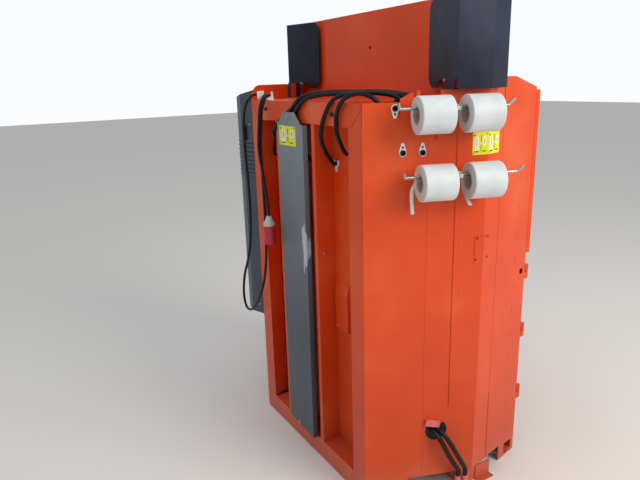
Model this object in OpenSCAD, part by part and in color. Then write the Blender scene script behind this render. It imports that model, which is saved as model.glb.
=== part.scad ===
/* [Body] */
// Height of the body's top deck above the floor
body_h = 1640; // [1560:10:1700]
// Height of the sheet that stands on the top deck
head_h = 360; // [330:5:420]
// Width of the flat back face
back_w = 912; // [880:2:960]
// How far each side bulges out past the back's corner, at its fold
bulge = 165; // [150:1:190]
// How far the side has come back in at its front edge
front_in = 74; // [60:1:90]
// Depth from the back face to the fold in a side
fold_d = 449; // [430:1:470]
// Depth from the back face to the front edge of a side
side_d = 795; // [770:1:830]
// Distance from the back face to the part's own origin
back_y = 420; // [410:1:430]
// Thickness of the body's sheets
panel_t = 4; // [3:0.5:6]
// Height of the gap under the sides, where forks go in
side_gap = 77; // [70:1:90]
// Radius of the raised far side's rounded corner
ear_r = 60; // [30:5:80]
// Height that the far side rises above the deck
ear_h = 68; // [50:2:90]

/* [Back] */
// Depth of the recess in the back
recess_d = 90; // [70:1:100]
// Width of each folded back post
post_w = 89; // [70:1:100]
// Height of the top beam across the back
beam_h = 87; // [70:1:100]
// Height of the base beam across the back
base_h = 95; // [92:1:110]
// Clear gap beside each post, seen as a dark line
post_slit = 4; // [2:1:8]
// Width of the channel in the middle of the back
channel_w = 334; // [320:2:344]
// How far the channel sits off the middle, to the far side
channel_x = 45; // [30:1:60]
// Width of the lip along each side of the channel
lip_w = 24; // [16:1:30]
// Width of the grey cover plate over the channel
cover_w = 223; // [210:1:226]
// Width of the cover plate's tapered top
cover_top_w = 97; // [86:1:110]
// Thickness of the cover plate
cover_t = 2.5; // [2:0.5:4]

/* [Chamber] */
// Clear width of the baling chamber
chamber_w = 800; // [780:2:820]
// Thickness of the chamber's side walls
wall_t = 5; // [4:1:8]
// Height of the strap bars on the chamber floor
bar_h = 20; // [16:1:26]
// Height of the bale door's top edge
bale_door_top = 965; // [940:5:980]
// Gap between the two doors
door_gap = 10; // [6:1:16]
// Thickness of the bale door
bale_door_t = 40; // [34:1:46]
// Thickness of the feed door
feed_door_t = 36; // [30:1:42]
// How far the bale door's edges stay inside the body's front
bale_door_in = 35; // [29:1:47]
// How far the feed door's edges stay inside the body's front
feed_door_in = 2; // [1:1:7]

/* [Press] */
// Travel of the press plate
stroke = 820; // [760:5:825]
// Outer diameter of a cylinder tube
tube_d = 110; // [100:1:120]
// Bore of a cylinder
bore_d = 80; // [70:1:88]
// Diameter of a piston rod
rod_d = 50; // [40:1:55]
// Distance between the two cylinders
cyl_gap = 1010; // [1000:2:1020]
// Distance of the cylinders in front of the origin
cyl_y = -30; // [-34:1:-26]
// Thickness of the press plate
platen_t = 60; // [50:1:70]
// Gap between the press plate's lower face and the deck, at rest
platen_drop = 100; // [90:1:120]
// Height of the crosshead beam
cross_h = 80; // [70:1:85]
// Depth of the crosshead beam
cross_d = 70; // [60:1:74]

/* [Straps] */
// Outer diameter of a full strap roll
roll_d = 131; // [118:1:138]
// Length of a strap roll
roll_len = 122; // [110:1:128]
// Inside diameter of a roll's cardboard core
core_d = 58; // [50:1:64]
// Wall of the cardboard core
core_t = 3; // [2:0.5:4]
// Diameter of the bent steel rods that carry the rolls
rod_bar_d = 11; // [8:1:12]
// Distance of the rods from the side panel
rod_out = 85; // [82:1:92]
// Height of the upper rod, from the deck
rod_z_up = -20; // [-40:1:-6]
// Height of the lower rod, from the deck
rod_z_low = -256; // [-270:1:-240]
// Outer diameter of the strap guide tubes
guide_d = 17; // [15:0.5:17.5]

/* [Power] */
// Depth of the power cabinet, out from the side
cab_d = 269; // [250:1:290]
// Length of the power cabinet along the side
cab_l = 350; // [330:1:360]
// Height of the cabinet's underside
cab_z = 470; // [440:5:500]
// Height of the cabinet's roof at its outer edge, from the deck
cab_top = 10; // [-10:1:20]
// Thickness of the cabinet's sheet
cab_t = 3; // [2:0.5:4]
// Diameter of the power cord
cord_d = 13; // [10:1:14]
// Diameter of the hydraulic hoses at the side
hose_d = 20; // [16:1:22]

/* [Hidden] */
$fn = 48;

// Clearances
slack = 0.3;          // between pieces that lie against each other
run_gap = 0.05;       // radial, round a pin or a rod
shoe_gap = 1;         // between a guide shoe and the chamber wall
door_seat = 4;        // between a door and the face that it closes on
skin = 0.5;           // between the deck's edge and the side panels

// Colours
orange = "#d8492a";
dark_orange = "#a93a24";
black = "#24272e";
grey = "#666d74";
cabinet_grey = "#49535e";
steel = "#a8adb2";
white = "#eef0f0";
yellow = "#dadb20";
board = "#a8927c";
red = "#b3202f";

// Unit vector along v
function unit(v) = v / norm(v);
// Left-hand normal of the line from a to b
function left_of(a, b) = let (d = unit(b - a)) [-d[1], d[0]];
// Where the line p-q-r goes at q when it is moved t to its left
function mitre(p, q, r, t) =
  let (m = left_of(p, q), n = left_of(q, r)) q + t * (m + n) / (1 + m * n);
// The whole line moved t to its left
function moved(path, t) = [for (i = [0 : len(path) - 1])
  i == 0 ? path[0] + t * left_of(path[0], path[1])
  : i == len(path) - 1 ? path[i] + t * left_of(path[i - 1], path[i])
  : mitre(path[i - 1], path[i], path[i + 1], t)];
function backwards(list) = [for (i = [len(list) - 1 : -1 : 0]) list[i]];

// The near side in plan: from the back corner out to the fold and in again to the front edge
corner = [-back_w / 2, back_y];
fold = [-(back_w / 2 + bulge), back_y - fold_d];
edge = [-(back_w / 2 + bulge - front_in), back_y - side_d];
b_dir = unit(fold - corner);
c_dir = unit(edge - fold);
b_len = norm(fold - corner);
c_len = norm(edge - fold);
b_turn = atan2(b_dir[1], b_dir[0]);
c_turn = atan2(c_dir[1], c_dir[0]);
// A point s along the rear or the front part of the side, and out from it
function on_b(s, out = 0) = corner + s * b_dir + out * [b_dir[1], -b_dir[0]];
function on_c(s, out = 0) = fold + s * c_dir + out * [c_dir[1], -c_dir[0]];

front_y = edge[1];
wall_y = back_y - recess_d;
half_chamber = chamber_w / 2;
post_x = back_w / 2 - post_w;
post_slope = 27;
head_top = body_h + head_h;
floor_z = side_gap;
floor_t = 6;

// Seams and covers along the side
seam_b = 247;         // welded seam along the rear part
cover_s = 358;        // where the bolted access cover starts
seam_c = 105;         // where the side panel ends and the front column starts
foot_s = 186;         // how far the rear foot reaches along the side
foot_c = 219;         // where the front foot starts
access_z = 405;       // lower edge of the access cover
access_t = 3;
strip_s = 290;        // where the upright strip under the near cover starts
strip_h = 38;

// Head, the part above the deck
head_y = 50;          // back face of the tall sheet
head_half = back_w / 2 + 24; // half the tall sheet's width
head_front_half = 13 - edge[0];
head_front_y = -92;
post_d = 38;
post_side = 60;
post_pos = head_half - 10;
wing_w = -fold[0] - 35 - head_half;
wing_h = 84;
flat_y = fold[1] - 182;
lid_z = body_h + 24;
cover_in = fold + [220, 95];
cover_bend = fold + [9, 152];
cover_out = fold + [-37, 34];
cover_end = fold + [-16, -64];
cover_z = body_h + 72;
cover_sheet = 3;

// Press
tube_z = 150;
cap_t = 15;
piston_t = 45;
gland_t = 30;
tube_top = tube_z + cap_t + 5 + stroke + piston_t + 5 + gland_t;
cross_z = tube_top + 5 + stroke;
platen_z = body_h - platen_drop;
platen_half = half_chamber - 10;
platen_back = wall_y - 12;
platen_front = front_y + 10;
slot_half = cross_d / 2 + 6;
pin_r = 15;
pin_z = side_gap + 36;
lug_w = 40;
ear_t = 15;
ear_gap = 5;

// Doors
door_face = front_y - door_seat;
bale_door_w = -2 * (edge[0] + bale_door_in);
feed_door_w = -2 * (edge[0] + feed_door_in);
bale_door_z = 90;
feed_door_z = bale_door_top + door_gap;
feed_door_top = body_h + 20;
hinge_bale = [-bale_door_w / 2 - 20, front_y - 20];
hinge_feed = [feed_door_w / 2 + 16, front_y - 22];
hinge_pin_r = 6;
barrel_r = 14;
feed_barrel_r = 12;
knuckle = 30;
bale_hinges = [bale_door_z + 206, bale_door_top - 358, bale_door_top - 79];
feed_hinges = [feed_door_z + 115, feed_door_top - 120];
handle_z = feed_door_z + 255;
handle_h = 170;
lock_x = bale_door_w / 2 - 72;
lock_z = 560;
lock_arms = [bale_door_z + 256, bale_door_top - 159];
leaf_t = 2.5;
lock_hub_r = 26;
lock_travel = 40;

// Small plates
plate_z = 1015;
plate_h = 110;
hatch_z = 655;
pipe_z = 390;
pipe_h = 720;

// Ejector in the chamber floor
eject_pos = [front_y + 35, floor_z + floor_t + 11];
eject_r = 8;
tine_x = 220;
tine_w = 60;
tine_t = 14;
bar_x = [110, 330];
bar_w = [100, 120];
bar_back = 245;
strap_x = [-290, -100, 100, 290];

// Rolls
roll_seat = core_d / 2 - rod_bar_d / 2 - slack;
rod_up = body_h + rod_z_up;
rod_low = body_h + rod_z_low;
roll_s_up = [169, 347];
roll_s_low = [185, 366];
rod_ends_up = [roll_s_up[0] - 61, roll_s_up[1] + roll_len + 36];
rod_ends_low = [roll_s_low[0] - 55, roll_s_low[1] + roll_len + 66];

// Power cabinet, placed along the far side and out from it
roof_z = body_h + cab_top;
cab_s = 120;
cab_chamfer_s = 38;
cab_chamfer_out = 65;
roof_rise = 56;
louvre_z = roof_z - 225;
louvre_pitch = 22;
louvres = 9;
latch_z = roof_z - 188;
cab_hinges = [cab_z + 130, roof_z - 270];
panel_z = roof_z - 400;
panel_w = 190;
panel_h = 260;
panel_deep = 10;
tank_h = 300;
tank_in = 50;
motor_r = 82;
motor_h = 220;

// Strap eyelets in the near side: s, z and whether the plate points down
eyelets = [[149, body_h - 179, 0], [224, body_h - 181, 0], [119, body_h - 21, 1], [232, body_h - 52, 1]];

// Routes of the free cord and of the fixed hoses and tubes
cord_route = [
  [330, 380, 1640.4], [330, 380, 1652], [327, 386, 1659], [318, 394, 1663.5], [309, 399.5, 1664],
  [300, 402.2, 1662.8], [286, 409, 1662.8], [273, 424, 1661], [262, 438, 1655], [258, 446, 1646],
  [262, 450, 1633],
  [274, 452, 1612], [286, 453, 1580], [293, 454, 1531], [305, 456, 1440], [306, 456, 1330],
  [302, 456, 1210], [302, 456, 1090], [306, 456, 980], [318, 457, 870], [346, 459, 770],
  [392, 462, 680], [446, 465, 610], [504, 468, 560], [556, 470, 552], [586, 470, 584],
  [590, 470, 650], [562, 470, 740], [510, 470, 830], [462, 472, 930], [436, 474, 1040],
  [424, 476, 1150], [424, 478, 1260], [428, 480, 1370], [429, 481, 1470], [427, 480, 1544],
  [420, 477, 1588], [405, 471, 1627], [384, 463, 1649], [360, 455, 1664], [336, 440, 1668],
  [316, 424, 1665], [300, 419.2, 1662.8], [287, 426, 1663], [272, 440, 1662], [260, 452, 1655],
      [253, 460, 1646],
  [258, 464, 1633], [269, 466, 1612], [279, 467, 1580], [286, 468, 1536], [298, 470, 1450],
  [287, 472, 1380], [258, 473, 1300], [236, 475, 1220], [219, 476, 1160], [219, 476, 1124]];
// A point at a distance from the middle of the back's top edge
function top_edge(list) = [for (p = list) [p[0], back_y + p[1], body_h + p[2]]];
// A point inside the near side, s along its rear part and so deep behind its face
function in_b(s, deep, z) = let (p = on_b(s, -deep)) [p[0], p[1], z];
// The last stretch of a guide tube, square to the side panel behind an eyelet
function to_eyelet(i) = [in_b(eyelets[i][0], panel_t + 13, eyelets[i][1]),
  in_b(eyelets[i][0], panel_t + slack, eyelets[i][1])];
wall_in = slack - recess_d;
tube_a = concat(
  top_edge([[373, wall_in, -258], [373, wall_in + 14, -258], [362, -64, -250], [335, -50, -224],
    [300, -34, -196], [264, -18, -168], [238, -3, -149], [216, 9.3, -130], [181, 9.5, -102],
        [150, 9.5, -82],
    [104, 9.5, -58], [68, 9.5, -43], [30, 11, -24], [0, 12, -6], [-32, 7, 14], [-72, -16, 28],
    [-118, -44, 34], [-178, -66, 37], [-273, -94, 37], [-380, -130, 36], [-450, -158, 30]]),
  [in_b(194, 20, body_h + 15), in_b(205, 24, body_h - 10), in_b(221, 25, body_h - 36)], to_eyelet(3));
tube_b = concat(
  top_edge([[-146, wall_in, -249], [-146, wall_in + 14, -249], [-152, -50, -222], [-164, -22, -186],
    [-180, 3, -142], [-198, 11, -102], [-214, 12, -66], [-236, 12, -36], [-262, 11, -6], [-287, 5, 14],
    [-312, -14, 27], [-345, -42, 33], [-394, -74, 34], [-450, -114, 28]]),
  [in_b(138, 20, body_h + 15), in_b(132, 25, body_h + 2), in_b(124, 22, body_h - 13)], to_eyelet(2));
tube_c = concat(
  top_edge([[-266, wall_in, -200], [-266, wall_in + 14, -200], [-271, -58, -197], [-279, -44, -190],
    [-286, -30, -176], [-292, -16, -156], [-296, -4, -134], [-299, 5, -113], [-302, 9.8, -92],
    [-305, 11, -72], [-308, 12, -52], [-315, 12, -32], [-328, 12, -12], [-348, 12, 7], [-375, 10, 21],
        [-403, 0, 31],
    [-428, -20, 33], [-446, -44, 22], [-456, -60, 8]]),
  [in_b(68, 20, body_h - 8), in_b(76, 23, body_h - 50), in_b(96, 25, body_h - 105),
   in_b(124, 26, body_h - 150), in_b(142, 24, body_h - 170)], to_eyelet(0));
tube_d4 = concat(
  top_edge([[20, wall_in, -255], [20, wall_in + 14, -255], [21, -45, -228], [23, -20, -195], [24, -2, -158],
    [24, 7, -122], [23, 9.5, -92], [19, 9.5, -62], [4, 10, -42], [-25, 13, -20], [-54, 11, 1],
    [-84, 0, 15], [-120, -18, 24], [-178, -42, 29], [-273, -70, 32], [-380, -106, 33], [-450, -136, 28]]),
  [in_b(166, 20, body_h + 15), in_b(170, 28, body_h - 15), in_b(182, 34, body_h - 60),
   in_b(204, 32, body_h - 118), in_b(219, 26, body_h - 160)], to_eyelet(1));
function from_fold(list) = [for (p = list) [fold[0] + p[0], fold[1] + p[1], p[2]]];
hose_a = from_fold([[59, 187, 300], [43, 181, 296], [25, 171, 276], [11, 157, 240], [1, 135, 190],
  [-5, 109, 142], [-7, 91, 112], [-7, 91, 86]]);
hose_b = from_fold([[53, 161, 304], [35, 157, 300], [15, 147, 282], [-3, 129, 244], [-15, 105, 194],
  [-21, 81, 148], [-22, 65, 118], [-22, 65, 88]]);

// A sheet of thickness t that follows a line in plan, lying to the left of the line
module folded(path, t, z, h) {
  translate([0, 0, z]) linear_extrude(h) polygon(concat(path, backwards(moved(path, t))));
}
// A box from its lowest corner to its highest
module block(low, high) {
  translate(low) cube(high - low);
}
// Puts its children s along the rear part of the side: X runs along it, Y points inwards
module at_b(s, z, out = 0) {
  p = on_b(s, out);
  translate([p[0], p[1], z]) rotate([0, 0, b_turn]) children();
}
// The same on the front part of the side
module at_c(s, z, out = 0) {
  p = on_c(s, out);
  translate([p[0], p[1], z]) rotate([0, 0, c_turn]) children();
}
module far() { mirror([1, 0, 0]) children(); }
// A round bar along X, Y or Z from a point
module bar_along_x(p, r, length) { translate(p) rotate([0, 90, 0]) cylinder(r = r, h = length); }
module bar_along_y(p, r, length) { translate(p) rotate([-90, 0, 0]) cylinder(r = r, h = length); }

// A smooth curve through points, a few steps to each span
function spline(p0, p1, p2, p3, t) =
  0.5 * ((2 * p1) + (p2 - p0) * t + (2 * p0 - 5 * p1 + 4 * p2 - p3) * t * t
  + (3 * p1 - p0 - 3 * p2 + p3) * t * t * t);
function smooth(pts, steps) = let (n = len(pts) - 1) [for (i = [0 : n * steps])
  let (k = min(floor(i / steps), n - 1), t = i / steps - k)
  spline(pts[max(k - 1, 0)], pts[k], pts[k + 1], pts[min(k + 2, n)], t)];
// Directions along a route, and side vectors carried along it without twist
function heading(p) = let (n = len(p) - 1) [for (i = [0 : n])
  unit(p[min(i + 1, n)] - p[max(i - 1, 0)])];
function square_to(v, d) = unit(v - (v * d) * d);
function carried(d, v, i = 0, out = []) = i == len(d) ? out
  : let (w = square_to(v, d[i])) carried(d, w, i + 1, concat(out, [w]));
// A tube with flat sides swept along a route
module swept(route, r, sides) {
  d = heading(route);
  v = carried(d, square_to([0.31, 0.52, 0.79], d[0]));
  rings = [for (i = [0 : len(route) - 1]) let (w = cross(d[i], v[i]))
    for (k = [0 : sides - 1]) let (a = 360 * k / sides)
      route[i] + r * (cos(a) * v[i] + sin(a) * w)];
  last = (len(route) - 1) * sides;
  polyhedron(points = rings, faces = concat(
    [[for (k = [0 : sides - 1]) k]],
    [for (i = [0 : len(route) - 2]) for (k = [0 : sides - 1])
      [i * sides + k, (i + 1) * sides + k, (i + 1) * sides + (k + 1) % sides,
       i * sides + (k + 1) % sides]],
    [[for (k = [sides - 1 : -1 : 0]) last + k]]));
}

// Three cross beams with the ends that show, and the ears that hold the cylinders
module base_frame() {
  color(orange) {
    difference() {
      block([-post_x + slack, wall_y, 0], [post_x - slack, back_y, base_h]);
      block([-back_w, wall_y + wall_t, wall_t], [back_w, back_y - wall_t, base_h - wall_t]);
    }
    difference() {
      union() {
        block([fold[0] + 12, cyl_y - 50, 0], [-fold[0] - 12, cyl_y + 50, side_gap]);
        for (m = [0, 1]) mirror([m, 0, 0]) {
          block([fold[0] - 19, cyl_y - 115, 0], [fold[0] + 46, cyl_y - 30, 6]);
          block([fold[0] + 8, cyl_y - 115, 0], [fold[0] + 14, cyl_y - 30, side_gap - 6]);
          for (x = [-cyl_gap / 2 - lug_w / 2 - ear_gap - ear_t, -cyl_gap / 2 + lug_w / 2 + ear_gap])
            block([x, cyl_y - 25, side_gap - 2], [x + ear_t, cyl_y + 25, pin_z + 24]);
        }
      }
      block([fold[0] + 18, cyl_y - 44, 6], [-fold[0] - 18, cyl_y + 44, side_gap - 6]);
      for (m = [0, 1]) mirror([m, 0, 0])
        bar_along_x([-cyl_gap / 2 - 60, cyl_y, pin_z], pin_r + run_gap, 120);
    }
    difference() {
      front_beam(0);
      front_beam(wall_t);
    }
  }
}
beam_low = 10;
beam_high = 64;
// The front cross beam, open at both ends; inset gives its hollow
module front_beam(inset) {
  reach = -edge[0] + 4 + inset;
  block([-reach, front_y + 17 + inset, beam_low + inset],
        [reach, front_y + 83 - inset, beam_high - inset]);
}

// Floor plate with raised bars that leave grooves for the straps, and the ejector's bearings
module chamber_floor() {
  top = floor_z + floor_t;
  color(dark_orange) difference() {
    union() {
      block([-half_chamber, front_y + panel_t, floor_z], [half_chamber, wall_y - panel_t, top]);
      for (i = [0, 1]) for (m = [-1, 1])
        block([m * bar_x[i] - bar_w[i] / 2, front_y + 65, top - 1],
              [m * bar_x[i] + bar_w[i] / 2, bar_back, top + bar_h]);
      for (x = [-290, 265])
        block([x, eject_pos[0] - 14, top - 1], [x + 25, eject_pos[0] + 14, eject_pos[1] + 14]);
    }
    bar_along_x([-300, eject_pos[0], eject_pos[1]], eject_r + run_gap, 600);
  }
}

// Folded beam across the top of the back
module top_beam() {
  low = body_h - beam_h;
  half = back_w / 2 - panel_t;
  color(orange) difference() {
    union() {
      block([-half, back_y - panel_t, low], [half, back_y, body_h]);
      block([-half, wall_y - panel_t, low], [half, back_y - 1, low + panel_t]);
    }
    for (m = [0, 1]) mirror([m, 0, 0])
      linear_extrude(body_h * 3) polygon([on_b(-9), on_b(recess_d * 1.3),
          on_b(recess_d * 1.3, -panel_t - skin),
        on_b(-9, -panel_t - skin)]);
  }
}

// Back wall, with the channel that stands out from it and its lips
module back_wall() {
  low = base_h;
  high = body_h - beam_h - slack;
  near = channel_x - channel_w / 2;
  away = channel_x + channel_w / 2;
  color(orange) difference() {
    union() {
      block([-half_chamber - wall_t, wall_y - panel_t, floor_z + 10],
            [half_chamber + wall_t, wall_y - slack, low]);
      block([-half_chamber - wall_t, wall_y - panel_t, low],
          [half_chamber + wall_t, wall_y, high - panel_t]);
      block([near, wall_y - 1, low], [near + panel_t, back_y, high]);
      block([near, back_y - panel_t, low], [near + lip_w, back_y, high]);
      block([away - panel_t, wall_y - 1, low], [away, back_y, high]);
      block([away - lip_w, back_y - panel_t, low], [away, back_y, high]);
    }
    for (p = [tube_a[0], tube_b[0], tube_c[0], tube_d4[0]])
      bar_along_y([p[0], wall_y - 20, p[2]], guide_d / 2 - 3, 40);
  }
}

// One side: the folded post, the rear corner, the panel out to its fold and in to the column.
// rise is how far the rear part stands above the deck
module side_panel(rise) {
  post = [[-post_x - post_slope, wall_y + post_slit], [-post_x, back_y], corner];
  full = concat(post, [fold, on_c(seam_c)]);
  difference() {
    union() {
      folded(full, panel_t, base_h, body_h - beam_h - slack - base_h);
      folded([corner, fold, on_c(seam_c)], panel_t, side_gap, body_h - side_gap);
      folded([[-post_x, back_y], corner, on_b(foot_s)], panel_t, 0, base_h + 1);
      if (rise > 0) raised_ear(rise);
      folded([on_b(strip_s), fold, on_c(seam_c)], panel_t, body_h - 1,
             (rise > 0 ? cover_z - body_h : strip_h) + 1 - slack * 2);
    }
    // opening behind the access cover
    low = rise > 0 ? side_gap + 60 : access_z + 20;
    high = rise > 0 ? cab_z - 40 : body_h - 120;
    at_b(cover_s + 16, low) translate([0, -20, 0]) cube([b_len - cover_s - 40, 60, high - low]);
    // welded seam: short grooves with gaps between them
    for (z = [side_gap + 20 : 92 : body_h - 110])
      at_b(seam_b, z) translate([-1.5, -1, 0]) cube([3, 2.2, 78]);
    // opening for the hydraulic hoses: round below and flat above
    if (rise == 0) at_b(hose_hole_s, hose_hole_z) rotate([90, 0, 0]) difference() {
      translate([0, 0, -20]) cylinder(r = hose_hole_r, h = 40);
      rotate([0, 0, hose_hole_tilt]) translate([-100, hose_hole_r * 0.55, -25]) cube([200, 100, 50]);
    }
    // holes behind the strap eyelets
    if (rise == 0) for (e = eyelets)
      at_b(e[0], e[1]) rotate([90, 0, 0]) translate([0, 0, -20]) cylinder(r = 8, h = 40);
  }
}
hose_hole_s = b_len - 172.4;
hose_hole_z = 296;
hose_hole_r = 46;
hose_hole_tilt = -14;

ear_l = 258;
// The rear part of the far side, which stands above the deck behind the cabinet
module raised_ear(rise) {
  at_b(0, body_h - 1) rotate([90, 0, 0]) translate([0, 0, -panel_t]) linear_extrude(panel_t) difference() {
    union() {
      square([ear_l, rise + 1 - ear_r]);
      translate([ear_r, 0]) square([ear_l - ear_r, rise + 1]);
      translate([ear_r, rise + 1 - ear_r]) circle(r = ear_r);
    }
    translate([78, rise * 0.62]) circle(r = 4);
  }
}
module side_panel_near() { color(orange) side_panel(0); }
module side_panel_far() { color(orange) far() side_panel(ear_h); }

// Bolted cover that wraps the fold
module access_cover() {
  line = [on_b(cover_s, access_t), fold_out(access_t), on_c(seam_c - 3, access_t)];
  folded(line, access_t - 0.1, access_z, body_h - 8 - access_z);
}
// The fold's corner moved straight outwards
function fold_out(out) = mitre(corner, fold, edge, -out);
module access_cover_near() { color(orange) access_cover(); }
module access_cover_far() {
  color(orange) far() access_cover_low();
}
// On the far side the cabinet takes the space above, so the cover stops under it
module access_cover_low() {
  line = [on_b(cover_s, access_t), fold_out(access_t), on_c(seam_c - 3, access_t)];
  folded(line, access_t - 0.1, side_gap + 40, cab_z - side_gap - 60);
}

// Front column: side plate in line with the front part of the side, and its front face
module front_column() {
  line = [on_c(seam_c + 4), edge, [-half_chamber - wall_t, front_y]];
  top = body_h + 75;
  difference() {
    union() {
      folded(line, panel_t, 0, top);
      for (z = bale_hinges) {
        block([hinge_bale[0] - barrel_r, hinge_bale[1], z - knuckle],
              [hinge_bale[0] + 4, front_y + 1, z - 1]);
        block([hinge_bale[0] - barrel_r, front_y - leaf_t, z - knuckle],
            [edge[0] + 40, front_y + 1, z - 1]);
        translate([hinge_bale[0], hinge_bale[1], z - knuckle]) cylinder(r = barrel_r, h = knuckle - 1);
      }
      block([-half_chamber - wall_t - 60, front_y + 1, floor_z],
          [-half_chamber - wall_t - 56, front_y + 60, body_h - 4]);
    }
    // underside between the feet
    translate([0, on_c(foot_c)[1], -1]) translate([-back_w, 0, 0]) cube([back_w, side_d, side_gap + 1]);
    block([-edge_in, front_y - 1, -1], [0, front_y + panel_t + 1, side_gap]);
    // open end of the front beam
    block([-back_w, front_y + 17 - slack, beam_low - slack],
        [-edge_in, front_y + 83 + slack, beam_high + slack]);
    // sloping top, highest at the back
    translate([-back_w, 0, 0]) rotate([90, 0, 90]) linear_extrude(back_w)
      polygon([[flat_y, top], [front_y - 35, feed_door_top + 2], [front_y - 35, top + 50],
          [flat_y, top + 50]]);
    // sight hole and the bores of the hinge pins
    at_c(323, 900) rotate([90, 0, 0]) translate([0, 0, -20]) cylinder(r = 14, h = 40);
    for (z = bale_hinges)
      translate([hinge_bale[0], hinge_bale[1], z - knuckle - 1])
          cylinder(r = hinge_pin_r + run_gap, h = knuckle * 2);
  }
}
edge_in = half_chamber + 90;
module front_column_near() { color(orange) front_column(); }
module front_column_far() {
  x = hinge_feed[0];
  y = hinge_feed[1];
  color(orange) difference() {
    union() {
      far() front_column_plain();
      for (z = feed_hinges) {
        block([x - 15, y, z - knuckle], [x + 2, y + 52, z - 1]);
        translate([x, y, z - knuckle]) cylinder(r = feed_barrel_r, h = knuckle - 1);
      }
      // keepers for the bale door's lock
      for (z = lock_arms) {
        block([bale_door_w / 2 + 4, front_y - 30, z - 46], [bale_door_w / 2 + 16, front_y + 2, z - 6]);
        block([-edge[0] - 40, front_y - leaf_t, z - 46], [bale_door_w / 2 + 16, front_y + 1, z - 6]);
      }
    }
    for (z = feed_hinges)
      translate([x, y, z - knuckle - 1]) cylinder(r = hinge_pin_r + run_gap, h = knuckle * 2);
  }
}
module front_column_plain() {
  line = [on_c(seam_c + 4), edge, [-half_chamber - wall_t, front_y]];
  top = body_h + 75;
  difference() {
    union() {
      folded(line, panel_t, 0, top);
      block([-half_chamber - wall_t - 60, front_y + 1, floor_z],
          [-half_chamber - wall_t - 56, front_y + 60, body_h - 4]);
    }
    translate([0, on_c(foot_c)[1], -1]) translate([-back_w, 0, 0]) cube([back_w, side_d, side_gap + 1]);
    block([-edge_in, front_y - 1, -1], [0, front_y + panel_t + 1, side_gap]);
    block([-back_w, front_y + 17 - slack, beam_low - slack],
        [-edge_in, front_y + 83 + slack, beam_high + slack]);
    translate([-back_w, 0, 0]) rotate([90, 0, 90]) linear_extrude(back_w)
      polygon([[flat_y, top], [front_y - 35, feed_door_top + 2], [front_y - 35, top + 50],
          [flat_y, top + 50]]);
  }
}

// Chamber side wall, slotted for the crosshead
module chamber_wall() {
  difference() {
    block([-half_chamber - wall_t, front_y + panel_t, floor_z],
          [-half_chamber, wall_y - panel_t, body_h - panel_t - slack]);
    block([-half_chamber - wall_t - 1, cyl_y - slot_half, cross_z - stroke - 20],
          [-half_chamber + 1, cyl_y + slot_half, body_h]);
  }
}
module chamber_wall_near() { color(dark_orange) chamber_wall(); }
module chamber_wall_far() { color(dark_orange) far() chamber_wall(); }

// Deck behind the head, with a slot near its edge where the guide tubes go down
module rear_deck() {
  inner = -panel_t - skin;
  front = cyl_y + cross_d / 2 + 4;
  s_front = (corner[1] - front) / -b_dir[1];
  half = [on_b(6, inner), on_b(s_front, inner)];
  color(orange) difference() {
    translate([0, 0, body_h - panel_t]) linear_extrude(panel_t)
      polygon([half[0], half[1], [-half[1][0], half[1][1]], [-half[0][0], half[0][1]],
               [-half[0][0] - 1, back_y - panel_t - slack], [half[0][0] + 1, back_y - panel_t - slack]]);
    at_b(46, body_h - 20) translate([0, -1, 0]) cube([190, 52, 40]);
  }
}

// Tall sheet between the black covers, with a folded top lip, a foot and two welded posts
module head_back_sheet() {
  color(orange) {
    difference() {
      union() {
        block([-head_half, head_y - panel_t, body_h], [head_half, head_y, head_top]);
        block([-head_half, head_y - 30, head_top - panel_t], [head_half, head_y - 1, head_top]);
        block([-post_pos + post_side / 2 + 2, head_y - 1, body_h],
              [post_pos - post_side / 2 - 2, head_y + 26, body_h + panel_t]);
        for (m = [0, 1]) mirror([m, 0, 0]) translate([head_half - 1, head_y, body_h]) rotate([90, 0, 0])
          linear_extrude(panel_t) polygon([[0, 0], [wing_w, 0], [wing_w, wing_h], [0, wing_h - 26]]);
      }
      for (h = [[2, 211, 7], [437, 318, 4], [-402, 300, 4]])
        translate([h[0], head_y - 20, body_h + h[1]]) rotate([-90, 0, 0]) cylinder(r = h[2], h = 40);
    }
    for (m = [-1, 1]) translate([m * post_pos, 0, 0]) difference() {
      block([-post_side / 2, head_y - panel_t - post_d, body_h],
            [post_side / 2, head_y - panel_t + 1, head_top - 10 - panel_t - slack]);
      block([-post_side / 2 + 4, head_y - panel_t - post_d + 4, body_h - 1],
            [post_side / 2 - 4, head_y - panel_t - 4, head_top]);
    }
  }
}
// Front sheet of the head, bent forward into the sloping deck over the feed opening
module head_front_sheet() {
  front = head_front_y;
  high = head_top - 10;
  ledge = body_h + 72;
  side = [on_c((fold[1] - front - panel_t) / -c_dir[1], -panel_t - skin), on_c(c_len + 2, -panel_t - skin)];
  color(orange) {
    block([-head_front_half, front, ledge], [head_front_half, front + panel_t, high]);
    block([-head_front_half, front + 1, high - panel_t], [head_front_half, front + 24, high]);
    intersection() {
      translate([-back_w, 0, 0]) rotate([90, 0, 90]) linear_extrude(back_w * 2)
        polygon([[front + panel_t, ledge], [front + panel_t, ledge + panel_t], [flat_y, ledge + panel_t],
                 [front_y + panel_t + skin, lid_z + panel_t], [front_y + panel_t + skin, lid_z],
                 [flat_y, ledge]]);
      linear_extrude(head_top) polygon([side[0], side[1], [-side[1][0], side[1][1]],
          [-side[0][0], side[0][1]]]);
    }
  }
}
// Lid over the head
module head_top_cover() {
  color(black) block([-head_front_half, head_front_y + 26, head_top - 10 - panel_t],
      [head_front_half, head_y - 32, head_top - 10]);
}

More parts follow.
